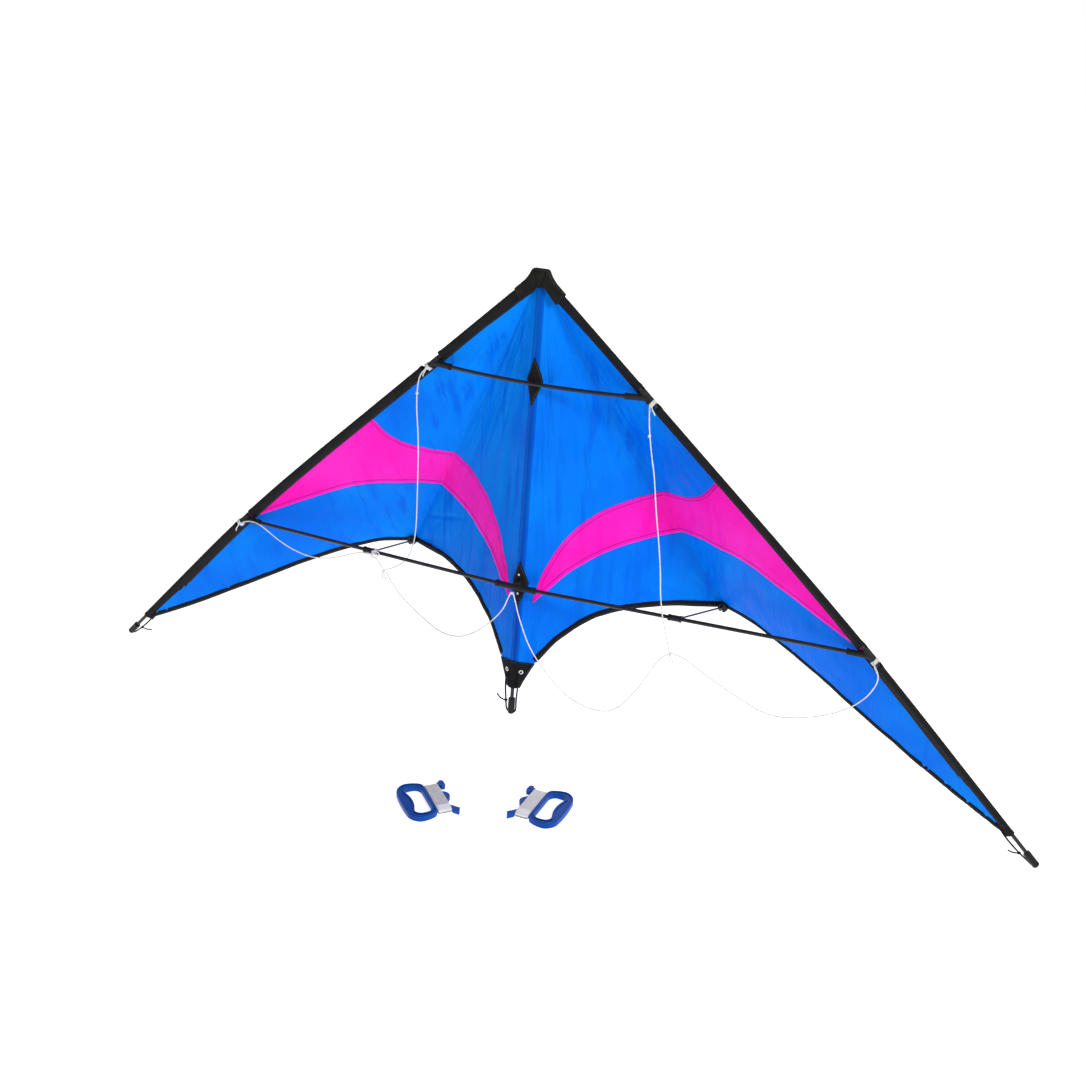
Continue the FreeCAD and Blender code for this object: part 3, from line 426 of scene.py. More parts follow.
def tube_piece(name, points, radius, material, body):
    """A long round line as a mesh, and the points that its centre follows, in metres."""
    curve = curve_object(name + "_route", [points], 0.0, 3)
    path = [vertex.co.copy() for vertex in curve.to_mesh().vertices]
    curve.to_mesh_clear()
    curve.data.bevel_depth = radius * MM
    curve.data.bevel_resolution = 1
    mesh = bpy.data.meshes.new_from_object(curve.evaluated_get(bpy.context.evaluated_depsgraph_get()))
    bpy.data.objects.remove(curve)
    mesh.name = name
    mesh.materials.clear()
    obj = bpy.data.objects.new(name, mesh)
    bpy.context.scene.collection.objects.link(obj)
    return finish_piece(obj, material, body), path


# ---- leading edge line
TIP = Vector((800, 26, -764.5))
LOWER_FIT = Vector((528, 8, -482))
UPPER_FIT_S = 232.0
SPAR_BEND = 150.0
SLEEVE_TILT = 21.6
SLEEVE_WIDTHS = [
    (0, 14.5), (60, 11.0), (120, 9.0), (500, 8.8), (650, 11.0), (760, 12.5), (850, 13.5), (1050, 13.5),
]
SLEEVE_OUTERS = [(0, 6.0), (60, 7.3), (500, 7.3), (690, 5.6), (850, 4.3), (1050, 4.3)]
SLEEVE_HALF = 3.95
SAIL_HIDDEN = 5.0
SLEEVE_END_S = 1047.0


def bend_corner():
    first = unit(LOWER_FIT)
    second = unit(TIP - LOWER_FIT)
    half_turn = first.angle(second) / 2
    radius = SPAR_BEND / math.tan(half_turn)
    return LOWER_FIT + unit(first - second) * radius * (1 / math.cos(half_turn) - 1)


CORNER = bend_corner()
SPAR_FIRST = unit(CORNER)
SPAR_SECOND = unit(TIP - CORNER)
SPAR_TURN = SPAR_FIRST.angle(SPAR_SECOND)
SPAR_RADIUS = SPAR_BEND / math.tan(SPAR_TURN / 2)
BEND_START_S = CORNER.length - SPAR_BEND
BEND_END_S = BEND_START_S + SPAR_RADIUS * SPAR_TURN
SPAR_LENGTH = BEND_END_S + (TIP - CORNER).length - SPAR_BEND
LOWER_FIT_S = (BEND_START_S + BEND_END_S) / 2
SPAR_INWARD = unit(SPAR_SECOND - SPAR_FIRST * SPAR_SECOND.dot(SPAR_FIRST))
BEND_CENTRE = SPAR_FIRST * BEND_START_S + SPAR_INWARD * SPAR_RADIUS


def spar_point(s):
    if s <= BEND_START_S:
        return SPAR_FIRST * s
    if s >= BEND_END_S:
        return TIP - SPAR_SECOND * (SPAR_LENGTH - s)
    turn = (s - BEND_START_S) / SPAR_RADIUS
    outward = SPAR_INWARD * -math.cos(turn) + SPAR_FIRST * math.sin(turn)
    return BEND_CENTRE + outward * SPAR_RADIUS


def spar_direction(s):
    return unit(spar_point(s + 0.5) - spar_point(s - 0.5))


def sleeve_axes():
    """Inward across the sleeve, leaning back with the sail, and behind it."""
    flat_inward = unit(Vector((SPAR_FIRST.z, 0, -SPAR_FIRST.x)))
    tilt = math.radians(SLEEVE_TILT)
    inward = unit(flat_inward * math.cos(tilt) + Vector((0, math.sin(tilt), 0)))
    inward = unit(inward - SPAR_FIRST * inward.dot(SPAR_FIRST))
    behind = SPAR_FIRST.cross(inward)
    return inward, behind * (-1 if behind.y < 0 else 1)


INWARD, BEHIND = sleeve_axes()

# ---- sail surface
SPINE_LEAN = 0.0895
INNER_CAMBER = [(0, -SPINE_LEAN), (12, 0.045), (21, 0.158), (28, 0.2286)]
OUTER_CAMBER = [(28, 0.2286), (36, 0.126), (42, 0.056), (48, 0.008)]
CORNER_ANGLE = 28.0
TAIL_ANGLE = 2.8
TAIL_EDGE = [(0.0, 636), (1.0, 636), (2.8, 597)]
INNER_EDGE = [(2.8, 597), (6, 561), (12, 533), (20, 544), (28, 583)]
OUTER_EDGE = [(28, 583), (33, 622), (38, 715), (42, 851), (46, 1040)]
STRIPE_TOP = [
    (2, 500), (4, 447), (8, 400), (14, 371), (20, 364), (28, 368), (35, 383), (40, 390), (47, 384),
]
STRIPE_BOTTOM = [
    (2, 500), (4, 483), (8, 455), (14, 434), (21, 431), (28, 442), (34, 468), (40, 517), (44, 600),
    (48, 730),
]
SAIL_CORNER = Vector((274, 131.5, -515))
LEFT_FOLDS = [
    (4.2, 9, [(17, 45), (29, 180), (42, 260), (45, 365)]),
    (-2.2, 7, [(38, 110), (60, 200), (92, 300)]),
    (2.6, 8, [(96, 170), (110, 260), (150, 360)]),
    (-1.8, 6, [(130, 250), (170, 320), (215, 392)]),
    (2.4, 9, [(150, 425), (225, 452), (300, 470)]),
    (2.0, 7, [(60, 400), (75, 460), (84, 540)]),
]
RIGHT_FOLDS = [
    (3.0, 8, [(30, 60), (52, 150), (66, 250), (72, 360)]),
    (-2.4, 7, [(60, 100), (100, 190), (128, 290)]),
    (2.4, 8, [(120, 175), (150, 250), (205, 345)]),
    (-1.8, 7, [(20, 120), (28, 240), (30, 380)]),
    (2.2, 8, [(60, 430), (72, 490), (80, 560)]),
    (2.2, 9, [(170, 470), (220, 492), (262, 508)]),
]
SPAR_ANGLE = math.degrees(math.atan2(CORNER.x, -CORNER.z))
SAIL_END_ANGLE = SPAR_ANGLE - 0.15
TIP_SPAR_ANGLE = math.degrees(math.atan2(TIP.x - CORNER.x, CORNER.z - TIP.z))


def camber(angle):
    return smooth(INNER_CAMBER if angle <= CORNER_ANGLE else OUTER_CAMBER, angle)


def trailing_edge(angle):
    if angle <= TAIL_ANGLE:
        return straight(TAIL_EDGE, angle)
    return smooth(INNER_EDGE if angle <= CORNER_ANGLE else OUTER_EDGE, angle)


def stripe_top(angle):
    return smooth(STRIPE_TOP, angle)


def stripe_bottom(angle):
    return smooth(STRIPE_BOTTOM, angle)


def slant(edge, angle):
    """How much nearer than along its ray a point is to an edge curve."""
    step = 0.2
    rise = edge(angle + step) - edge(angle - step)
    run = edge(angle) * math.radians(2 * step)
    return 1 / math.hypot(1, rise / run)


def inside_spar(angle, reach):
    """Distance from a point of the sail to the leading edge's axis, across it."""
    upper = reach * math.sin(math.radians(SPAR_ANGLE - angle))
    away = CORNER.length * math.sin(math.radians(SPAR_ANGLE - TIP_SPAR_ANGLE))
    lower = away - reach * math.sin(math.radians(angle - TIP_SPAR_ANGLE))
    return min(upper, lower)


def ruffle(angle, reach, side):
    """How far a point of the cloth stands behind its drawn surface: pleats, creases and puckers."""
    x = reach * math.sin(math.radians(angle))
    z = reach * math.cos(math.radians(angle))
    seed = 41.3 if side == "left" else 7.7
    edge = inside_spar(angle, reach)
    corner = math.hypot(x - SAIL_CORNER.x, z + SAIL_CORNER.z)
    fan = math.atan2(z + SAIL_CORNER.z, x - SAIL_CORNER.x)
    pleats = rough(angle * 0.42, reach * 0.0016, seed) * 3.4 * fade(reach, 10, 220)
    pleats += rough(angle * 1.1, reach * 0.003, seed + 3) * 1.3 * fade(reach, 10, 150)
    pleats *= 1 - 0.75 * fade(reach, 300, 520)
    drape = rough(x / 21, z / 260, seed + 9) * 3.2 * (1 - fade(x, 60, 190))
    crush = rough(x / 44, z / 60, seed + 14) * 1.5 + rough(x / 17, z / 26, seed + 21) * 0.55
    crush += (1 - abs(rough(x / 60, z / 95, seed + 31))) ** 6 * 1.1
    rays = rough(fan * 3.1, corner / 260, seed + 27) * 2.6 + rough(fan * 7.5, corner / 200, seed + 33) * 1.1
    rays *= fade(corner, 4, 45) * (1 - fade(corner, 80, 250))
    held = fade(edge, 9, 38) * (0.2 + 0.8 * fade(x, 3, 20)) * fade(corner, 3, 30)
    pucker = rough((x + z) / 10, edge / 60, seed + 50) * 1.1 * math.exp(-max(edge - 11, 0) / 26)
    pucker *= fade(edge, 8, 18)
    return (pleats + drape + crush + rays + pressed(x, z, side)) * held + pucker


def valley(x, z, line, wide):
    """1 along a crease drawn through points (x, z), falling away to nothing on both sides."""
    first, last = line[0][1], line[-1][1]
    ends = fade(z, first - 25, first + 25) * (1 - fade(z, last - 40, last + 25))
    return math.exp(-((x - smooth([(b, a) for a, b in line], z)) / wide) ** 2) * ends


def pressed(x, z, side):
    """The long folds left by packing, each a soft valley or ridge at its own place."""
    folds = LEFT_FOLDS if side == "left" else RIGHT_FOLDS
    return sum(deep * valley(x, z, line, wide) for deep, wide, line in folds)


def sail_point(angle, reach, side, off=0.0):
    turn = math.radians(angle)
    behind = reach * camber(angle) + off + ruffle(angle, reach, side)
    return to_side(Vector((reach * math.sin(turn), behind, -reach * math.cos(turn))), side)


def on_sail(x, z, side, off=0.0):
    angle = math.degrees(math.atan2(abs(x), -z))
    return sail_point(angle, math.hypot(x, z), side, off)


def sleeve_cover(angle):
    """Where a ray enters the cloth that the sleeve holds, on the straight upper stretch."""
    return SAIL_HIDDEN / math.sin(math.radians(max(SPAR_ANGLE - angle, 0.05)))


def tip_sleeve_cover(angle):
    away = math.radians(angle - TIP_SPAR_ANGLE)
    inside = CORNER.length * math.sin(math.radians(SPAR_ANGLE - TIP_SPAR_ANGLE)) - SAIL_HIDDEN
    return inside / math.sin(away) if math.sin(away) > 0.001 else 5000.0


def crossing(low, high, start, end):
    for _ in range(40):
        middle = (start + end) / 2
        if high(middle) > low(middle):
            start = middle
        else:
            end = middle
    return start


def cone_piece(name, side, low, high, rows, material, slot, first, off, edges):
    """A panel of cloth between two curves on the sail, with seams along edges."""
    last = crossing(low, high, 30.0, SAIL_END_ANGLE) - 0.01
    count = int((last - first) / 0.36)
    angles = sorted(set(steps(first, last, count) + [CORNER_ANGLE]))
    grid = []
    seam = []
    run = []
    along = 0.0
    before = None
    for angle in angles:
        near = max(low(angle), 6.0)
        far = max(high(angle), near + 0.1)
        line = [sail_point(angle, r, side, off) for r in steps(near, far, rows)]
        middle = line[rows // 2]
        along += (middle - before).length if before else 0.0
        before = middle
        grid.append(line)
        for r in steps(near, far, rows):
            run.append((along, r))
            if edges:
                top, bottom = edges
                below_top = (r - top(angle)) * slant(top, angle)
                seam.append((below_top, (bottom(angle) - r) * slant(bottom, angle)))
    return grid_piece(name, grid, material, slot, thick=0.25, run=run, seam=seam)


def panel_area(low, high, first):
    """The flat area of a panel, in square metres, from its rays."""
    total = 0.0
    angles = steps(first, SAIL_END_ANGLE, 120)
    for a0, a1 in zip(angles, angles[1:]):
        spread = math.hypot(math.radians(a1 - a0), camber(a1) - camber(a0))
        total += spread * (high(a0) ** 2 - low(a0) ** 2) / 2 if high(a0) > low(a0) else 0.0
    return total * MM * MM


def hem(angle):
    return trailing_edge(angle) - 1.0


def make_sail():
    def stripe_low(angle):
        return max(stripe_top(angle), sleeve_cover(angle))

    def lower_low(angle):
        return max(stripe_bottom(angle) - 6.0, sleeve_cover(angle))

    def lower_high(angle):
        return min(hem(angle), tip_sleeve_cover(angle))

    def upper_high(angle):
        return stripe_top(angle) + (6.0 if angle > 2.6 else 0.0)

    edges = (stripe_top, stripe_bottom)
    panels = (
        ("_upper_sail", sleeve_cover, upper_high, 84, SAIL_BLUE, "sail_blue", 0.0, (0.32, 0.50)),
        ("_stripe_sail", stripe_low, stripe_bottom, 30, SAIL_PINK, "sail_pink", 2.3, (0.52, 0.16)),
        ("_lower_sail", lower_low, lower_high, 44, SAIL_BLUE, "sail_blue", 0.0, (0.80, 0.21)),
    )
    for side in SIDES:
        for name, low, high, rows, material, slot, first, flat in panels:
            striped = material == SAIL_PINK
            piece = cone_piece(side + name, side, low, high, rows, material, slot, first,
                               -0.45 if striped else 0.0, edges if striped else None)
            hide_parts(side + name + "_panel")
            panel_area(low, high, first)


# ---- hems and sleeves
def section_frame(angle, side):
    """A point of the trailing edge, the way into the sail, and the way behind it."""
    step = 0.05
    back, here, ahead = [
        sail_point(a, trailing_edge(a) - 0.2, side) for a in (angle - step, angle, angle + step)
    ]
    along = unit(ahead - back)
    inner = sail_point(angle, trailing_edge(angle) - 5.0, side)
    inward = unit((inner - here) - along * (inner - here).dot(along))
    normal = along.cross(inward)
    return here, inward, normal * (-1 if normal.y < 0 else 1)


def make_bindings():
    """Folded tape over the trailing edge, from the tail patch to the tip."""
    profile = [(8.4, -0.55), (4.4, -0.8), (0.3, -0.74), (-0.6, -0.4), (-0.8, 0.0)]
    profile += [(a, -b) for a, b in reversed(profile[:-1])]
    last = crossing(lambda a: 0.0, lambda a: tip_sleeve_cover(a) - trailing_edge(a) + 6, 38, 46.7)
    angles = steps(TAIL_ANGLE + 0.1, CORNER_ANGLE - 0.4, 150) + steps(CORNER_ANGLE + 0.4, last, 260)
    for side in SIDES:
        grid = []
        run = []
        along = 0.0
        before = None
        for angle in angles:
            here, inward, normal = section_frame(angle, side)
            along += (here - before).length if before else 0.0
            before = here
            wave = 1 + 0.12 * rough(along / 24, 3.0, 9.0)
            grid.append([here + inward * a * wave + normal * b * wave for a, b in profile])
            run += [(along, a + 0.7) for a, _ in profile]
        piece = grid_piece(side + "_trailing_binding", grid, BINDING_BLACK, "binding_black",
                           run=run, thick=0.3)
        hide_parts(side + "_trailing_edge_binding")


def make_sleeves():
    """Cloth folded round the leading edge and stitched to the sail, cut away at the fittings."""
    clear = 19.0
    cuts = [(UPPER_FIT_S - clear, UPPER_FIT_S + clear), (LOWER_FIT_S - clear, LOWER_FIT_S + clear)]
    cloth_ends = [s for cut in cuts for s in cut] + [SLEEVE_END_S]
    stops = [12.0]
    for low, high in cuts:
        stops += steps(stops[-1], low, int((low - stops[-1]) / 4))[1:] + steps(low, high, 12)[1:]
    stops += steps(stops[-1], SLEEVE_END_S, int((SLEEVE_END_S - stops[-1]) / 4))[1:]
    shape = [(1.0, -0.75), (0.88, -0.85), (0.66, -1.15), (0.46, -2.1), (0.2, -3.5), (0.0, -SLEEVE_HALF)]
    # at a fitting, the cloth from the first of these columns to the second is cut away
    cut_column = 2
    back_column = 11
    for side in SIDES:
        seed = 90.0 if side == "left" else 12.0
        grid = []
        run = []
        for s in stops:
            width = straight(SLEEVE_WIDTHS, s)
            bulge = straight(SLEEVE_OUTERS, s) - SLEEVE_HALF
            fold = 1 + 0.09 * (1 - fade(min(abs(s - end) for end in cloth_ends), 4.5, 6.0))
            slack = 0.35 * rough(s / 34, seed, 1.0) + 0.2 * rough(s / 9, seed, 4.0)
            from_fitting = min(abs(s - UPPER_FIT_S), abs(s - LOWER_FIT_S))
            back = fold + 0.42 * (1 - fade(from_fitting, clear - 2, clear + 3))
            section = [(a * width, b * fold + slack * (1 - a)) for a, b in shape]
            for t in steps(0.5, math.pi - 0.5, 5):
                out = (SLEEVE_HALF * math.sin(t) + bulge * math.sin(t) ** 2) * fold
                section.append((-out, -SLEEVE_HALF * math.cos(t) * (fold if t < 2 else back)))
            section += [(a * width, -b * back + slack * (1 - a)) for a, b in reversed(shape)]
            origin = spar_point(s)
            wander = 0.5 * rough(s / 60, seed, 7.0) * fade(s, 20, 60)
            line = [origin + INWARD * (a + (wander if a > 6 else 0)) + BEHIND * b for a, b in section]
            grid.append([to_side(p, side) for p in line])
            run += [(s, width - a) for a, _ in section]
        columns = len(grid[0])

        def keep(face, columns=columns):
            row, column = divmod(face[0], columns)
            middle = (stops[row] + stops[row + 1]) / 2
            cut = any(low < middle < high for low, high in cuts)
            return not (cut and cut_column <= column < back_column)

        piece = grid_piece(side + "_leading_edge_sleeve_cloth", grid, SLEEVE_BLACK, "sleeve_black",
                           thick=0.5, run=run, keep=keep)
        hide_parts(side + "_leading_edge_sleeve")


# ---- patches and pocket
def diamond(name, middle, half_wide, half_tall, node):
    """A patch sewn over the spine, its edges a little uneven, as cut by hand."""
    grid = []
    run = []
    across = steps(-1.0, 1.0, 16)
    for t in steps(-1.0, 1.0, 36):
        half = half_wide * max(1 - abs(t), 0.012) ** 0.92
        z = middle + half_tall * t
        line = []
        for u in across:
            x = abs(u) * half * (1 + 0.05 * rough(t * 3, u, middle))
            line.append(on_sail(x, z, which_side(u), -1.0 - 0.5 * (1 - abs(u)) * (1 - abs(t))))
            run.append((t * half_tall, (1 - abs(u)) * half * 0.93))
        grid.append(line)
    piece = grid_piece(name, grid, PATCH_BLACK, "patch_black", thick=0.5, run=run)
    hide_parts(node)


def make_tail_patch():
    """A folded patch over the end of the spine, narrow below, with an eyelet in each corner."""
    grid = []
    run = []
    for t in steps(0.0, 1.0, 22):
        z = -594 - 43 * t
        half = 29.0 * (1 - t) + 11.5 * t + 1.2 * math.sin(t * math.pi) * -1
        line = []
        for u in steps(-1.0, 1.0, 28):
            drop = 4.0 * abs(u) * (1 - t) - 2.5 * (1 - abs(u)) * (1 - t)
            pleat = 0.5 * math.sin(abs(u) * 9.0) * t
            line.append(on_sail(abs(u) * half, z - drop, which_side(u), -1.3 + pleat))
            run.append(((z - drop), min((1 - abs(u)) * half, 50 * t, 60 * (1 - t))))
        grid.append(line)
    piece = grid_piece("tail_patch_cloth", grid, PATCH_BLACK, "patch_black", thick=0.7, run=run)
    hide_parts("tail_patch")


def make_spine_pocket():
    """A ribbon behind the sail that holds the spine, open where the tee crosses."""
    profile = [(11.0, 0.9), (8.0, 1.3), (5.4, 3.6), (3.9, 6.8), (2.0, 8.5), (0.0, 8.9)]
    profile += [(-x, y) for x, y in reversed(profile[:-1])]
    points = []
    faces = []
    for top, bottom in ((38.0, 449.0), (481.0, 592.0)):
        start = len(points)
        rows = steps(-top, -bottom, int((bottom - top) / 4))
        for z in rows:
            loose = 0.5 * rough(z / 14, 5.0, 2.0)
            for x, y in profile:
                base = on_sail(abs(x), z, which_side(x)).y if abs(x) > 7 else z * SPINE_LEAN
                points.append(Vector((x, base + y + loose * (1 if abs(x) < 7 else 0.3), z)))
        faces += [tuple(i + start for i in face) for face in grid_faces(len(rows), len(profile))]
    piece = mesh_piece("spine_pocket_ribbon", points, faces, POCKET_BLUE, "pocket_blue", thick=0.3)
    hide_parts("spine_pocket")


def make_nose():
    """Webbing folded over the nose, with an arm down each leading edge."""
    outward = unit(Vector((SPAR_FIRST.z * -1, 0, SPAR_FIRST.x)))
    grid = []
    run = []
    for u in steps(-1.0, 1.0, 48):
        arm = abs(u)
        s = 45 * fade(arm, 0.0, 1.0) ** 0.8
        blend = fade(arm, 0.22, 0.5)
        on_edge = SPAR_FIRST * s + outward * 8.4
        top = Vector((min(arm * 42, 12.5), 0, 8.2)).lerp(on_edge, blend)
        low = Vector((arm * 16, 0, -19.5 + 20 * arm * arm)).lerp(
            SPAR_FIRST * (s + 2) - outward * 11.5, fade(arm, 0.15, 0.8))
        crease = 2.0 * math.exp(-((arm - 0.2) / 0.06) ** 2)
        front = -6.3 + crease + 1.0 * blend
        back = 9.8 - 4.4 * blend
        line = []
        lean = rough(u * 4, 8.0, 1.0) * 0.7
        up = steps(0.0, 1.0, 9)
        down = list(reversed(up[:-1]))
        for v, depth, lean in [(v, front, lean) for v in up] + [(v, back, 0.0) for v in down]:
            p = low.lerp(top, fade(v, -0.15, 1.0))
            rounded = math.sqrt(max(1 - fade(v, 0.55, 1.0) ** 2, 0.0))
            line.append(Vector((p.x * (1 if u >= 0 else -1), depth * rounded + lean * (1 - v), p.z)))
        grid.append(line)
        run += [(u * 40, min(abs(i - 9) * 3.0, (1 - arm) * 40)) for i in range(len(line))]
    piece = grid_piece("nose_webbing", grid, WEBBING_BLACK, "nose_black", thick=1.1, run=run)
    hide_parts("nose_patch")


# ---- bridle
# For each line its real length in metres, and its route.
BRIDLE = {
    "left_upper": (0.362, [
        (-177.5, -6.4, -162.0), (-184, -15, -169), (-188, -17, -190), (-190, -16, -225),
        (-187, -15, -270), (-188, -14, -325), (-190, -13, -380), (-191, -14, -425), (-196, -15, -456),
        (-205, -18, -478), (-218, -26, -490), (-234.2, -34.6, -495.4),
    ]),
    "left_lower": (0.325, [
        (-529, 0.6, -488), (-517, -9, -479), (-502, -12, -474), (-484, -12, -476), (-467, -11, -487),
        (-446, -10, -500), (-420, -10, -510), (-386, -12, -515), (-348, -17, -507), (-317, -23, -493),
        (-290, -31, -479), (-266, -37, -472), (-247, -38, -477), (-239.0, -36.9, -493.2),
    ]),
    "left_inner": (0.321, [
        (-1.6, -65.6, -469.4), (-7, -66, -482), (-14, -61, -499), (-26, -57, -517), (-45, -53, -539),
        (-70, -49, -562), (-100, -44, -579), (-134, -38, -581), (-166, -33, -567), (-196, -28, -550),
        (-218, -33, -527), (-233.6, -36.0, -498.0),
    ]),
    "right_upper": (0.372, [
        (177.5, -6.4, -162.0), (181, -16, -172), (184, -20, -194), (190, -22, -228), (198, -24, -262),
        (204, -27, -306), (213, -30, -355), (220, -33, -400), (223, -35, -436), (229, -37, -469),
        (238, -38, -500), (244.0, -37.4, -523.3),
    ]),
    "right_lower": (0.378, [
        (534.5, 0.6, -489.0), (541, -9, -492), (547, -14, -502), (543, -17, -519), (530, -19, -540),
        (506, -21, -562), (470, -24, -580), (430, -27, -592), (392, -29, -593), (356, -31, -577),
        (322, -34, -560), (288, -36, -541), (264, -36, -527), (247.8, -36.9, -525.6),
    ]),
    "right_inner": (0.410, [
        (1.6, -65.6, -469.4), (6, -66, -483), (9, -62, -504), (15, -58, -528), (24, -55, -555),
        (38, -52, -580), (60, -49, -608), (86, -46, -633), (118, -44, -646), (148, -43, -648),
        (172, -42, -635), (190, -41, -610), (207, -40, -583), (220, -39, -556), (231, -38, -536),
        (242.4, -37.3, -528.0),
    ]),
}
TOW_KNOT = {"left": Vector((-237.2, -36, -496.8)), "right": Vector((245, -37, -526))}
TEE_KNOT = Vector((0, -65.2, -471.0))
LINE_R = 0.9
LINE_CLEAR = LINE_R + 0.15
FITTING_R = 4.6
ROD_R = 2.9
HITCH_AWAY = 10.3


def knot_run(centre, size, turn):
    """A small overhand knot: a trefoil of line, pulled tight."""
    spin = Matrix.Rotation(turn, 3, "Y")
    points = []
    for t in steps(0.0, 2 * math.pi, 26):
        x = math.sin(t) + 2 * math.sin(2 * t)
        z = math.cos(t) - 2 * math.cos(2 * t)
        points.append(centre + spin @ (Vector((x, -math.sin(3 * t) * 1.1, z)) * size))
    return points


def wrap_run(centre, axis, radius, turns, pitch):
    """Turns of line side by side round a bar."""
    first = unit(axis.cross(Vector((0, 1, 0.2))))
    second = axis.cross(first)
    points = []
    for t in steps(0.0, turns, int(turns * 14)):
        turn = t * 2 * math.pi
        round_bar = (first * math.cos(turn) + second * math.sin(turn)) * radius
        points.append(centre + axis * (t - turns / 2) * pitch + round_bar)
    return points


def make_bridle():
    lines = {}
    for name, (_, points) in BRIDLE.items():
        piece = curve_piece(name + "_bridle_cord", [points], LINE_R, BRIDLE_WHITE, fine=8)
        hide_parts(name + "_bridle_line")
        lines[name] = piece
    sag = {"left": [(-1, 0, -4), (2, -2, -13)], "right": [(1, 0, -5), (3, -1, -14)]}
    for side in SIDES:
        knot = TOW_KNOT[side]
        runs = [knot_run(knot, 0.62, 0.4)]
        for lean in (-1.2, 1.2):
            first, second = [Vector(row) for row in sag[side]]
            across = Vector((lean, 0, 0))
            ends = [knot + Vector((lean * 0.5, 0, -1.5)), knot + first + across]
            ends += [knot + (first + second) / 2 + across * 2.2, knot + second + across * 1.9]
            runs.append(ends)
        curve_piece(side + "_tow_knot_tied", runs, LINE_R, BRIDLE_WHITE)
        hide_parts(side + "_tow_knot")
    for name, piece in lines.items():
        length, points = BRIDLE[name]
        side, place = name.split("_")
    make_hitches()


def make_hitches():
    """Turns of line round the fittings and one spreader, and the knots at them and at the tee."""
    coil = FITTING_R + LINE_CLEAR
    runs = []
    for side in SIDES:
        for s in (UPPER_FIT_S, LOWER_FIT_S):
            centre = to_side(spar_point(s + HITCH_AWAY), side)
            axis = unit(to_side(spar_direction(s + HITCH_AWAY), side))
            runs.append(wrap_run(centre, axis, coil, 3, 2.0))
            front = Vector((0, -coil - 0.4, 0))
            runs.append(knot_run(centre + front, 0.55, 0.9))
            end = centre + front + Vector((0, -0.6, -1.5))
            loose = ((0, 0, 0), (2, -1.5, -5), (5, -1, -9), (6, 0, -13))
            runs.append([end + to_side(Vector(p), side) for p in loose])
    runs.append(knot_run(TEE_KNOT, 0.5, 0.2))
    for place in ((-188.6, -16.8, -201), (185, -20.6, -203)):
        runs.append(knot_run(Vector(place), 0.55, 0.5))
    axis = unit(Vector((-0.9922, 0.1207, -0.0324)))
    start = Vector((-255, -24.9, -473.3))
    runs.append(wrap_run(start + axis * 2.1, axis, ROD_R + LINE_CLEAR, 3, 2.0))
    tangle = [(-256, -30, -476), (-262, -33, -470), (-254, -35, -466), (-247, -32, -470),
              (-250, -29, -478), (-259, -31, -482), (-264, -33, -476), (-257, -34, -470)]
    runs.append([Vector(p) for p in tangle])
    piece = curve_piece("bridle_hitches_tied", runs, LINE_R, BRIDLE_WHITE)
    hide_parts("bridle_hitches")


# ---- elastic cords
ELASTIC_R = 1.3
CAP_LENGTH = 26.0


def make_elastics():
    eyelet = spar_point(1034.0) + INWARD * 9.2
    cap_back = TIP - SPAR_SECOND * CAP_LENGTH
    side_way = unit(INWARD - SPAR_SECOND * INWARD.dot(SPAR_SECOND))
    front = SPAR_SECOND.cross(side_way)
    front = front * (-1 if front.y > 0 else 1)
    route = [
        eyelet - BEHIND * 3.2,
        eyelet - BEHIND * 4.4 + SPAR_SECOND * 12 + side_way,
        cap_back + side_way * 9.4 + front * 2.6 - SPAR_SECOND * 4,
        cap_back + side_way * 7.6 + front * 0.8 + SPAR_SECOND * 12,
        TIP + side_way * 6.4 - SPAR_SECOND * 3.0,
        TIP + side_way * 0.4 + SPAR_SECOND * 0.2,
    ]
    tail = [route[2] + side_way * a - SPAR_SECOND * b for a, b in ((0, 0), (6, 1), (11, 3.5), (15, 8.5))]
    for side in SIDES:
        points = [to_side(p, side) for p in route]
        loose = [to_side(p, side) for p in tail]
        elastic(side + "_tip_elastic", side + "_tip_tension_cord", points, loose)
    make_tail_elastic()


def elastic(name, node, points, tail):
    """A taut elastic along the given points, and its knot, which has a loose tail."""
    main = curve_piece(name, [points], ELASTIC_R, ELASTIC_BLACK)
    runs = [tail, knot_run(tail[0], 0.6, 0.3)]
    knot = curve_piece(name + "_knot", runs, ELASTIC_R * 0.85, ELASTIC_BLACK)
    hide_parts(node)


def make_tail_elastic():
    end_y = -682 * SPINE_LEAN + 4.8
    right = [
        (10.5, -51.8, -612.5), (11.0, -55.5, -624), (9.8, -57.5, -642),
        (8.6, -57.2, -660), (8.2, end_y, -676), (1.8, end_y, -680.4),
    ]
    left = [(-x, y, z) for x, y, z in reversed(right)]
    knot = Vector(left[2])
    tail = [knot + Vector(p) for p in ((0, 0, 0), (-4, -1.5, 1), (-10, -3, 4), (-14, -3, 10))]
    elastic("tail_elastic", "tail_tension_cord", [Vector(p) for p in right + left], tail)


# ---- winder handles
HANDLE_PLACE = {
    "right": (Vector((141, -109, -770)), Vector((-1, 0, 0)), 1.0),
    "left": (Vector((-123, -215, -770)), unit(Vector((0.7, 0.714, 0))), -1.0),
}
HANDLE_MIDDLE_Z = 4.7
FLYING_R = 0.4
WIND_PITCH = 0.84
WIND_TURNS = 25
WIND_LAYERS = 3
WIND_START = 47.0
NECK_MIDDLE = 48


def handle_point(side, p, q, z):
    """From a handle's plan (p from the grip to the prongs, q across) to the row frame."""
    corner, p_way, flip = HANDLE_PLACE[side]
    q_way = Vector((-p_way.y, p_way.x, 0)) * flip
    return corner + p_way * p + q_way * q + Vector((0, 0, z))


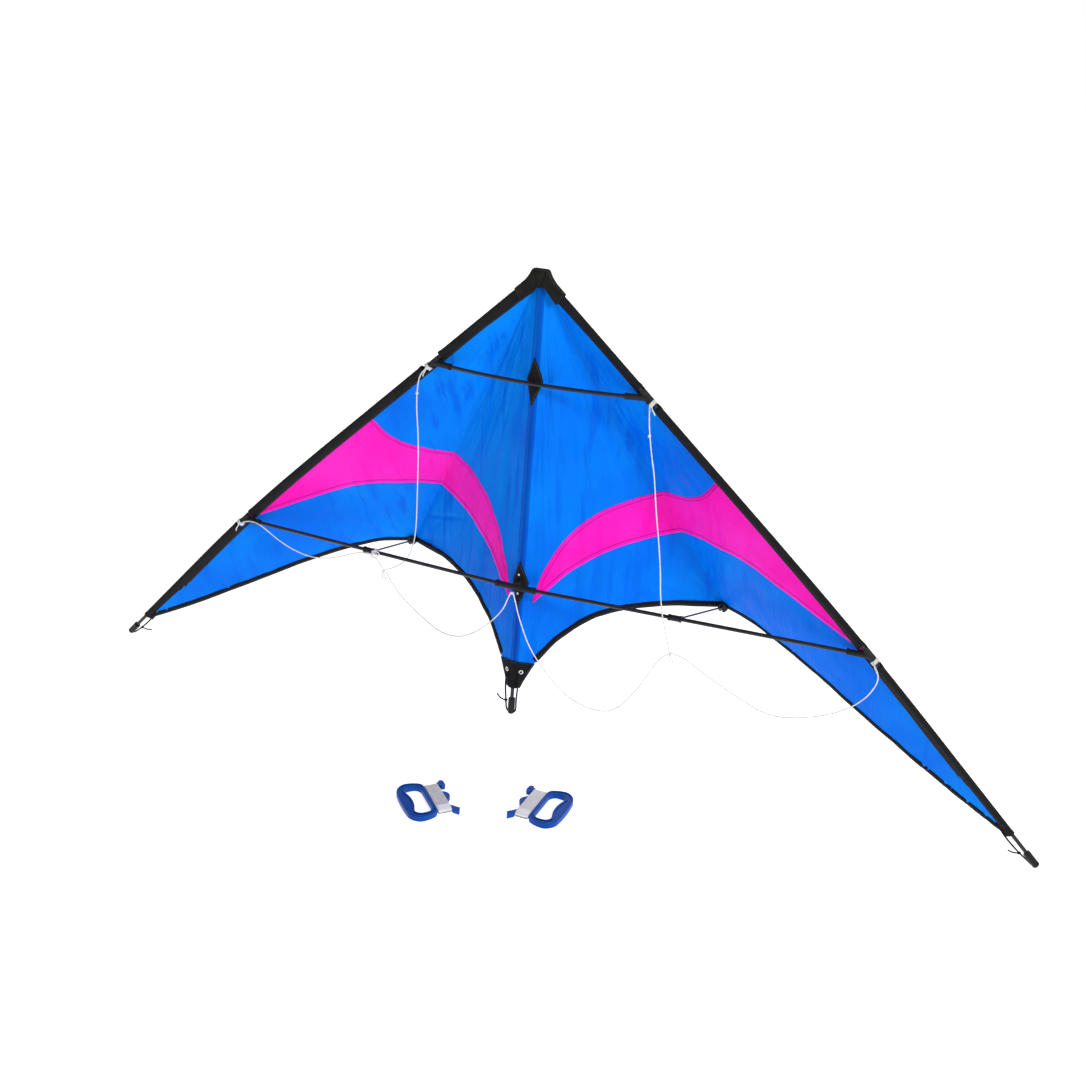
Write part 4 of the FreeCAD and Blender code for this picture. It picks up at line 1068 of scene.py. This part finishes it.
def winding_route(side):
    """Layers of turns round the neck, each turn running along the handle's width, and every
    second layer going back."""
    random.seed(5)
    points = []
    half = 33.2
    for layer in range(WIND_LAYERS):
        radius = 2.3 + 0.83 * layer
        for turn in range(WIND_TURNS):
            back = layer % 2
            p = WIND_START + (WIND_TURNS - 1 - turn if back else turn) * WIND_PITCH
            forward = -WIND_PITCH if back else WIND_PITCH
            top = [(q, radius) for q in (-half, -half * 0.33, half * 0.33, half)]
            arc = [(half + radius * math.sin(t), radius * math.cos(t)) for t in (0.8, 1.57, 2.34)]
            loop = top + arc + [(-q, -z) for q, z in top] + [(-q, -z) for q, z in arc]
            for i, (q, z) in enumerate(loop):
                drift = forward * i / len(loop)
                jitter = random.uniform(-0.07, 0.07)
                place = (p + drift + jitter, NECK_MIDDLE + q, HANDLE_MIDDLE_Z + z)
                points.append(handle_point(side, *place))
    return points


def make_windings():
    for side in SIDES:
        points = winding_route(side)
        body = side + "_handle_set"
        line, path = tube_piece(side + "_wound_flying_line", points, FLYING_R, LINE_WHITE,
                                body)
        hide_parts(side + "_flying_line")
        grid = []
        for q in steps(71.5, 86.6, 16):
            end = max(q - 80.5, 0.0)
            row = []
            for t in steps(0.0, 1.0, 23)[:-1]:
                angle = t * 2 * math.pi
                wide = 10.95 - 0.02 * end ** 2
                tall = math.sqrt(max(4.55 ** 2 - 0.5 * end ** 2, 0.6))
                c, s = math.cos(angle), math.sin(angle)
                p = 57.0 + wide * math.copysign(abs(c) ** 0.25, c)
                z = HANDLE_MIDDLE_Z + tall * math.copysign(abs(s) ** 0.35, s)
                row.append(handle_point(side, p, q, z + 0.12 * rough(p / 4, q / 4, 2.0)))
            grid.append(row)
        tape_end = grid_piece(side + "_line_end_tape", grid, TAPE_WHITE, "winding_white", body=body,
                              closed=True, thick=0.12)


# ---- carried-over parts
def paint(material, *names, sides=("left_", "right_")):
    for side in sides:
        for name in names:
            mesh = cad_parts[side + name].data
            mesh.materials.clear()
            mesh.materials.append(material)


def paint_parts():
    whole = ("",)
    paint(CARBON, "upper_leading_edge_rod", "lower_leading_edge_rod", "lower_spreader")
    paint(FERRULE, "leading_edge_ferrule")
    paint(CAP_BLACK, "tip_end_cap")
    paint(RUBBER, "upper_spar_fitting", "lower_spar_fitting")
    paint(CLIP_BLACK, "standoff_clip", "sail_corner_fitting")
    paint(STANDOFF_BLACK, "standoff_rod")
    paint(NICKEL, "tip_eyelet")
    paint(HANDLE_BLUE, "handle")
    paint(CARBON, "spine_rod", "upper_spreader", sides=whole)
    paint(CAP_BLACK, "spine_end_cap", sides=whole)
    paint(RUBBER, "centre_tee", sides=whole)
    paint(NICKEL, "tail_eyelets", "centre_patch_rivets", sides=whole)


# ---- studio
FLOOR_REACH = 30.0
FLOOR_Z = -0.7702


def make_studio():
    floor_mesh = bpy.data.meshes.new("studio_floor")
    corners = [(x * FLOOR_REACH, y * FLOOR_REACH, FLOOR_Z) for x, y in ((-1, -1), (1, -1), (1, 1), (-1, 1))]
    floor_mesh.from_pydata(corners, [], [(0, 1, 2, 3)])
    floor = bpy.data.objects.new("studio_floor", floor_mesh)
    bpy.context.scene.collection.objects.link(floor)
    f = Finish("studio_floor", 0.9, Specular_IOR_Level=0.0, Emission_Color=(1, 1, 1, 1),
               Emission_Strength=0.76)
    f.colour(f.mix(f.noise(1.5, 2.0), srgb(236, 236, 236), srgb(230, 230, 230)))
    floor_mesh.materials.append(f.material)
    make_sky()
    add_light("key", (2.9, -1.7, 1.9), 1.0, 84)
    add_light("fill", (-2.6, -2.6, 0.9), 2.4, 8)
    add_light("back", (-0.6, 2.6, 1.6), 2.4, 20)


def make_sky():
    """A white wall of light low behind the object, dimmer overhead and in front of it."""
    world = bpy.data.worlds.new("studio")
    bpy.context.scene.world = world
    world.use_nodes = True
    tree = world.node_tree
    background = tree.nodes["Background"]
    background.inputs["Color"].default_value = (1, 1, 1, 1)
    split = tree.nodes.new("ShaderNodeSeparateXYZ")
    tree.links.new(tree.nodes.new("ShaderNodeTexCoord").outputs["Generated"], split.inputs[0])
    both = tree.nodes.new("ShaderNodeMath")
    both.operation = "MULTIPLY"
    for axis, socket, limits in (("Z", 0, (0.28, 0.6, 1.02, 0.3)), ("Y", 1, (-0.5, 0.1, 0.3, 1.0))):
        fall = tree.nodes.new("ShaderNodeMapRange")
        fall.interpolation_type = "SMOOTHSTEP"
        for name, value in zip(("From Min", "From Max", "To Min", "To Max"), limits):
            fall.inputs[name].default_value = value
        tree.links.new(split.outputs[axis], fall.inputs["Value"])
        tree.links.new(fall.outputs["Result"], both.inputs[socket])
    tree.links.new(both.outputs[0], background.inputs["Strength"])


def add_light(name, place, size, power):
    data = bpy.data.lights.new(name, "AREA")
    data.size = size
    data.energy = power
    light = bpy.data.objects.new(name, data)
    light.location = place
    aim = Vector((0.1, 0.0, -0.45)) - Vector(place)
    light.rotation_euler = aim.to_track_quat("-Z", "Y").to_euler()
    bpy.context.scene.collection.objects.link(light)


def make_camera():
    data = bpy.data.cameras.new("camera")
    data.lens = 50.0
    data.sensor_width = 36.0
    camera = bpy.data.objects.new("camera", data)
    right = Vector((0.9133, 0.4057, 0.0358))
    up = Vector((-0.1906, 0.3482, 0.9179))
    back = right.cross(up)
    turn = Matrix((right, up, back)).transposed().to_4x4()
    camera.matrix_world = Matrix.Translation((0.843, -1.934, 0.495)) @ turn
    bpy.context.scene.collection.objects.link(camera)
    bpy.context.scene.camera = camera


bpy.context.scene.view_settings.view_transform = "Standard"
make_camera()
make_bridle()
make_elastics()
make_windings()
make_sail()
make_bindings()
make_sleeves()
diamond("upper_diamond_cloth", -154.0, 13.0, 36.0, "upper_diamond_patch")
diamond("centre_diamond_cloth", -465.0, 13.5, 36.5, "centre_diamond_patch")
make_tail_patch()
make_spine_pocket()
make_nose()
paint_parts()
make_studio()
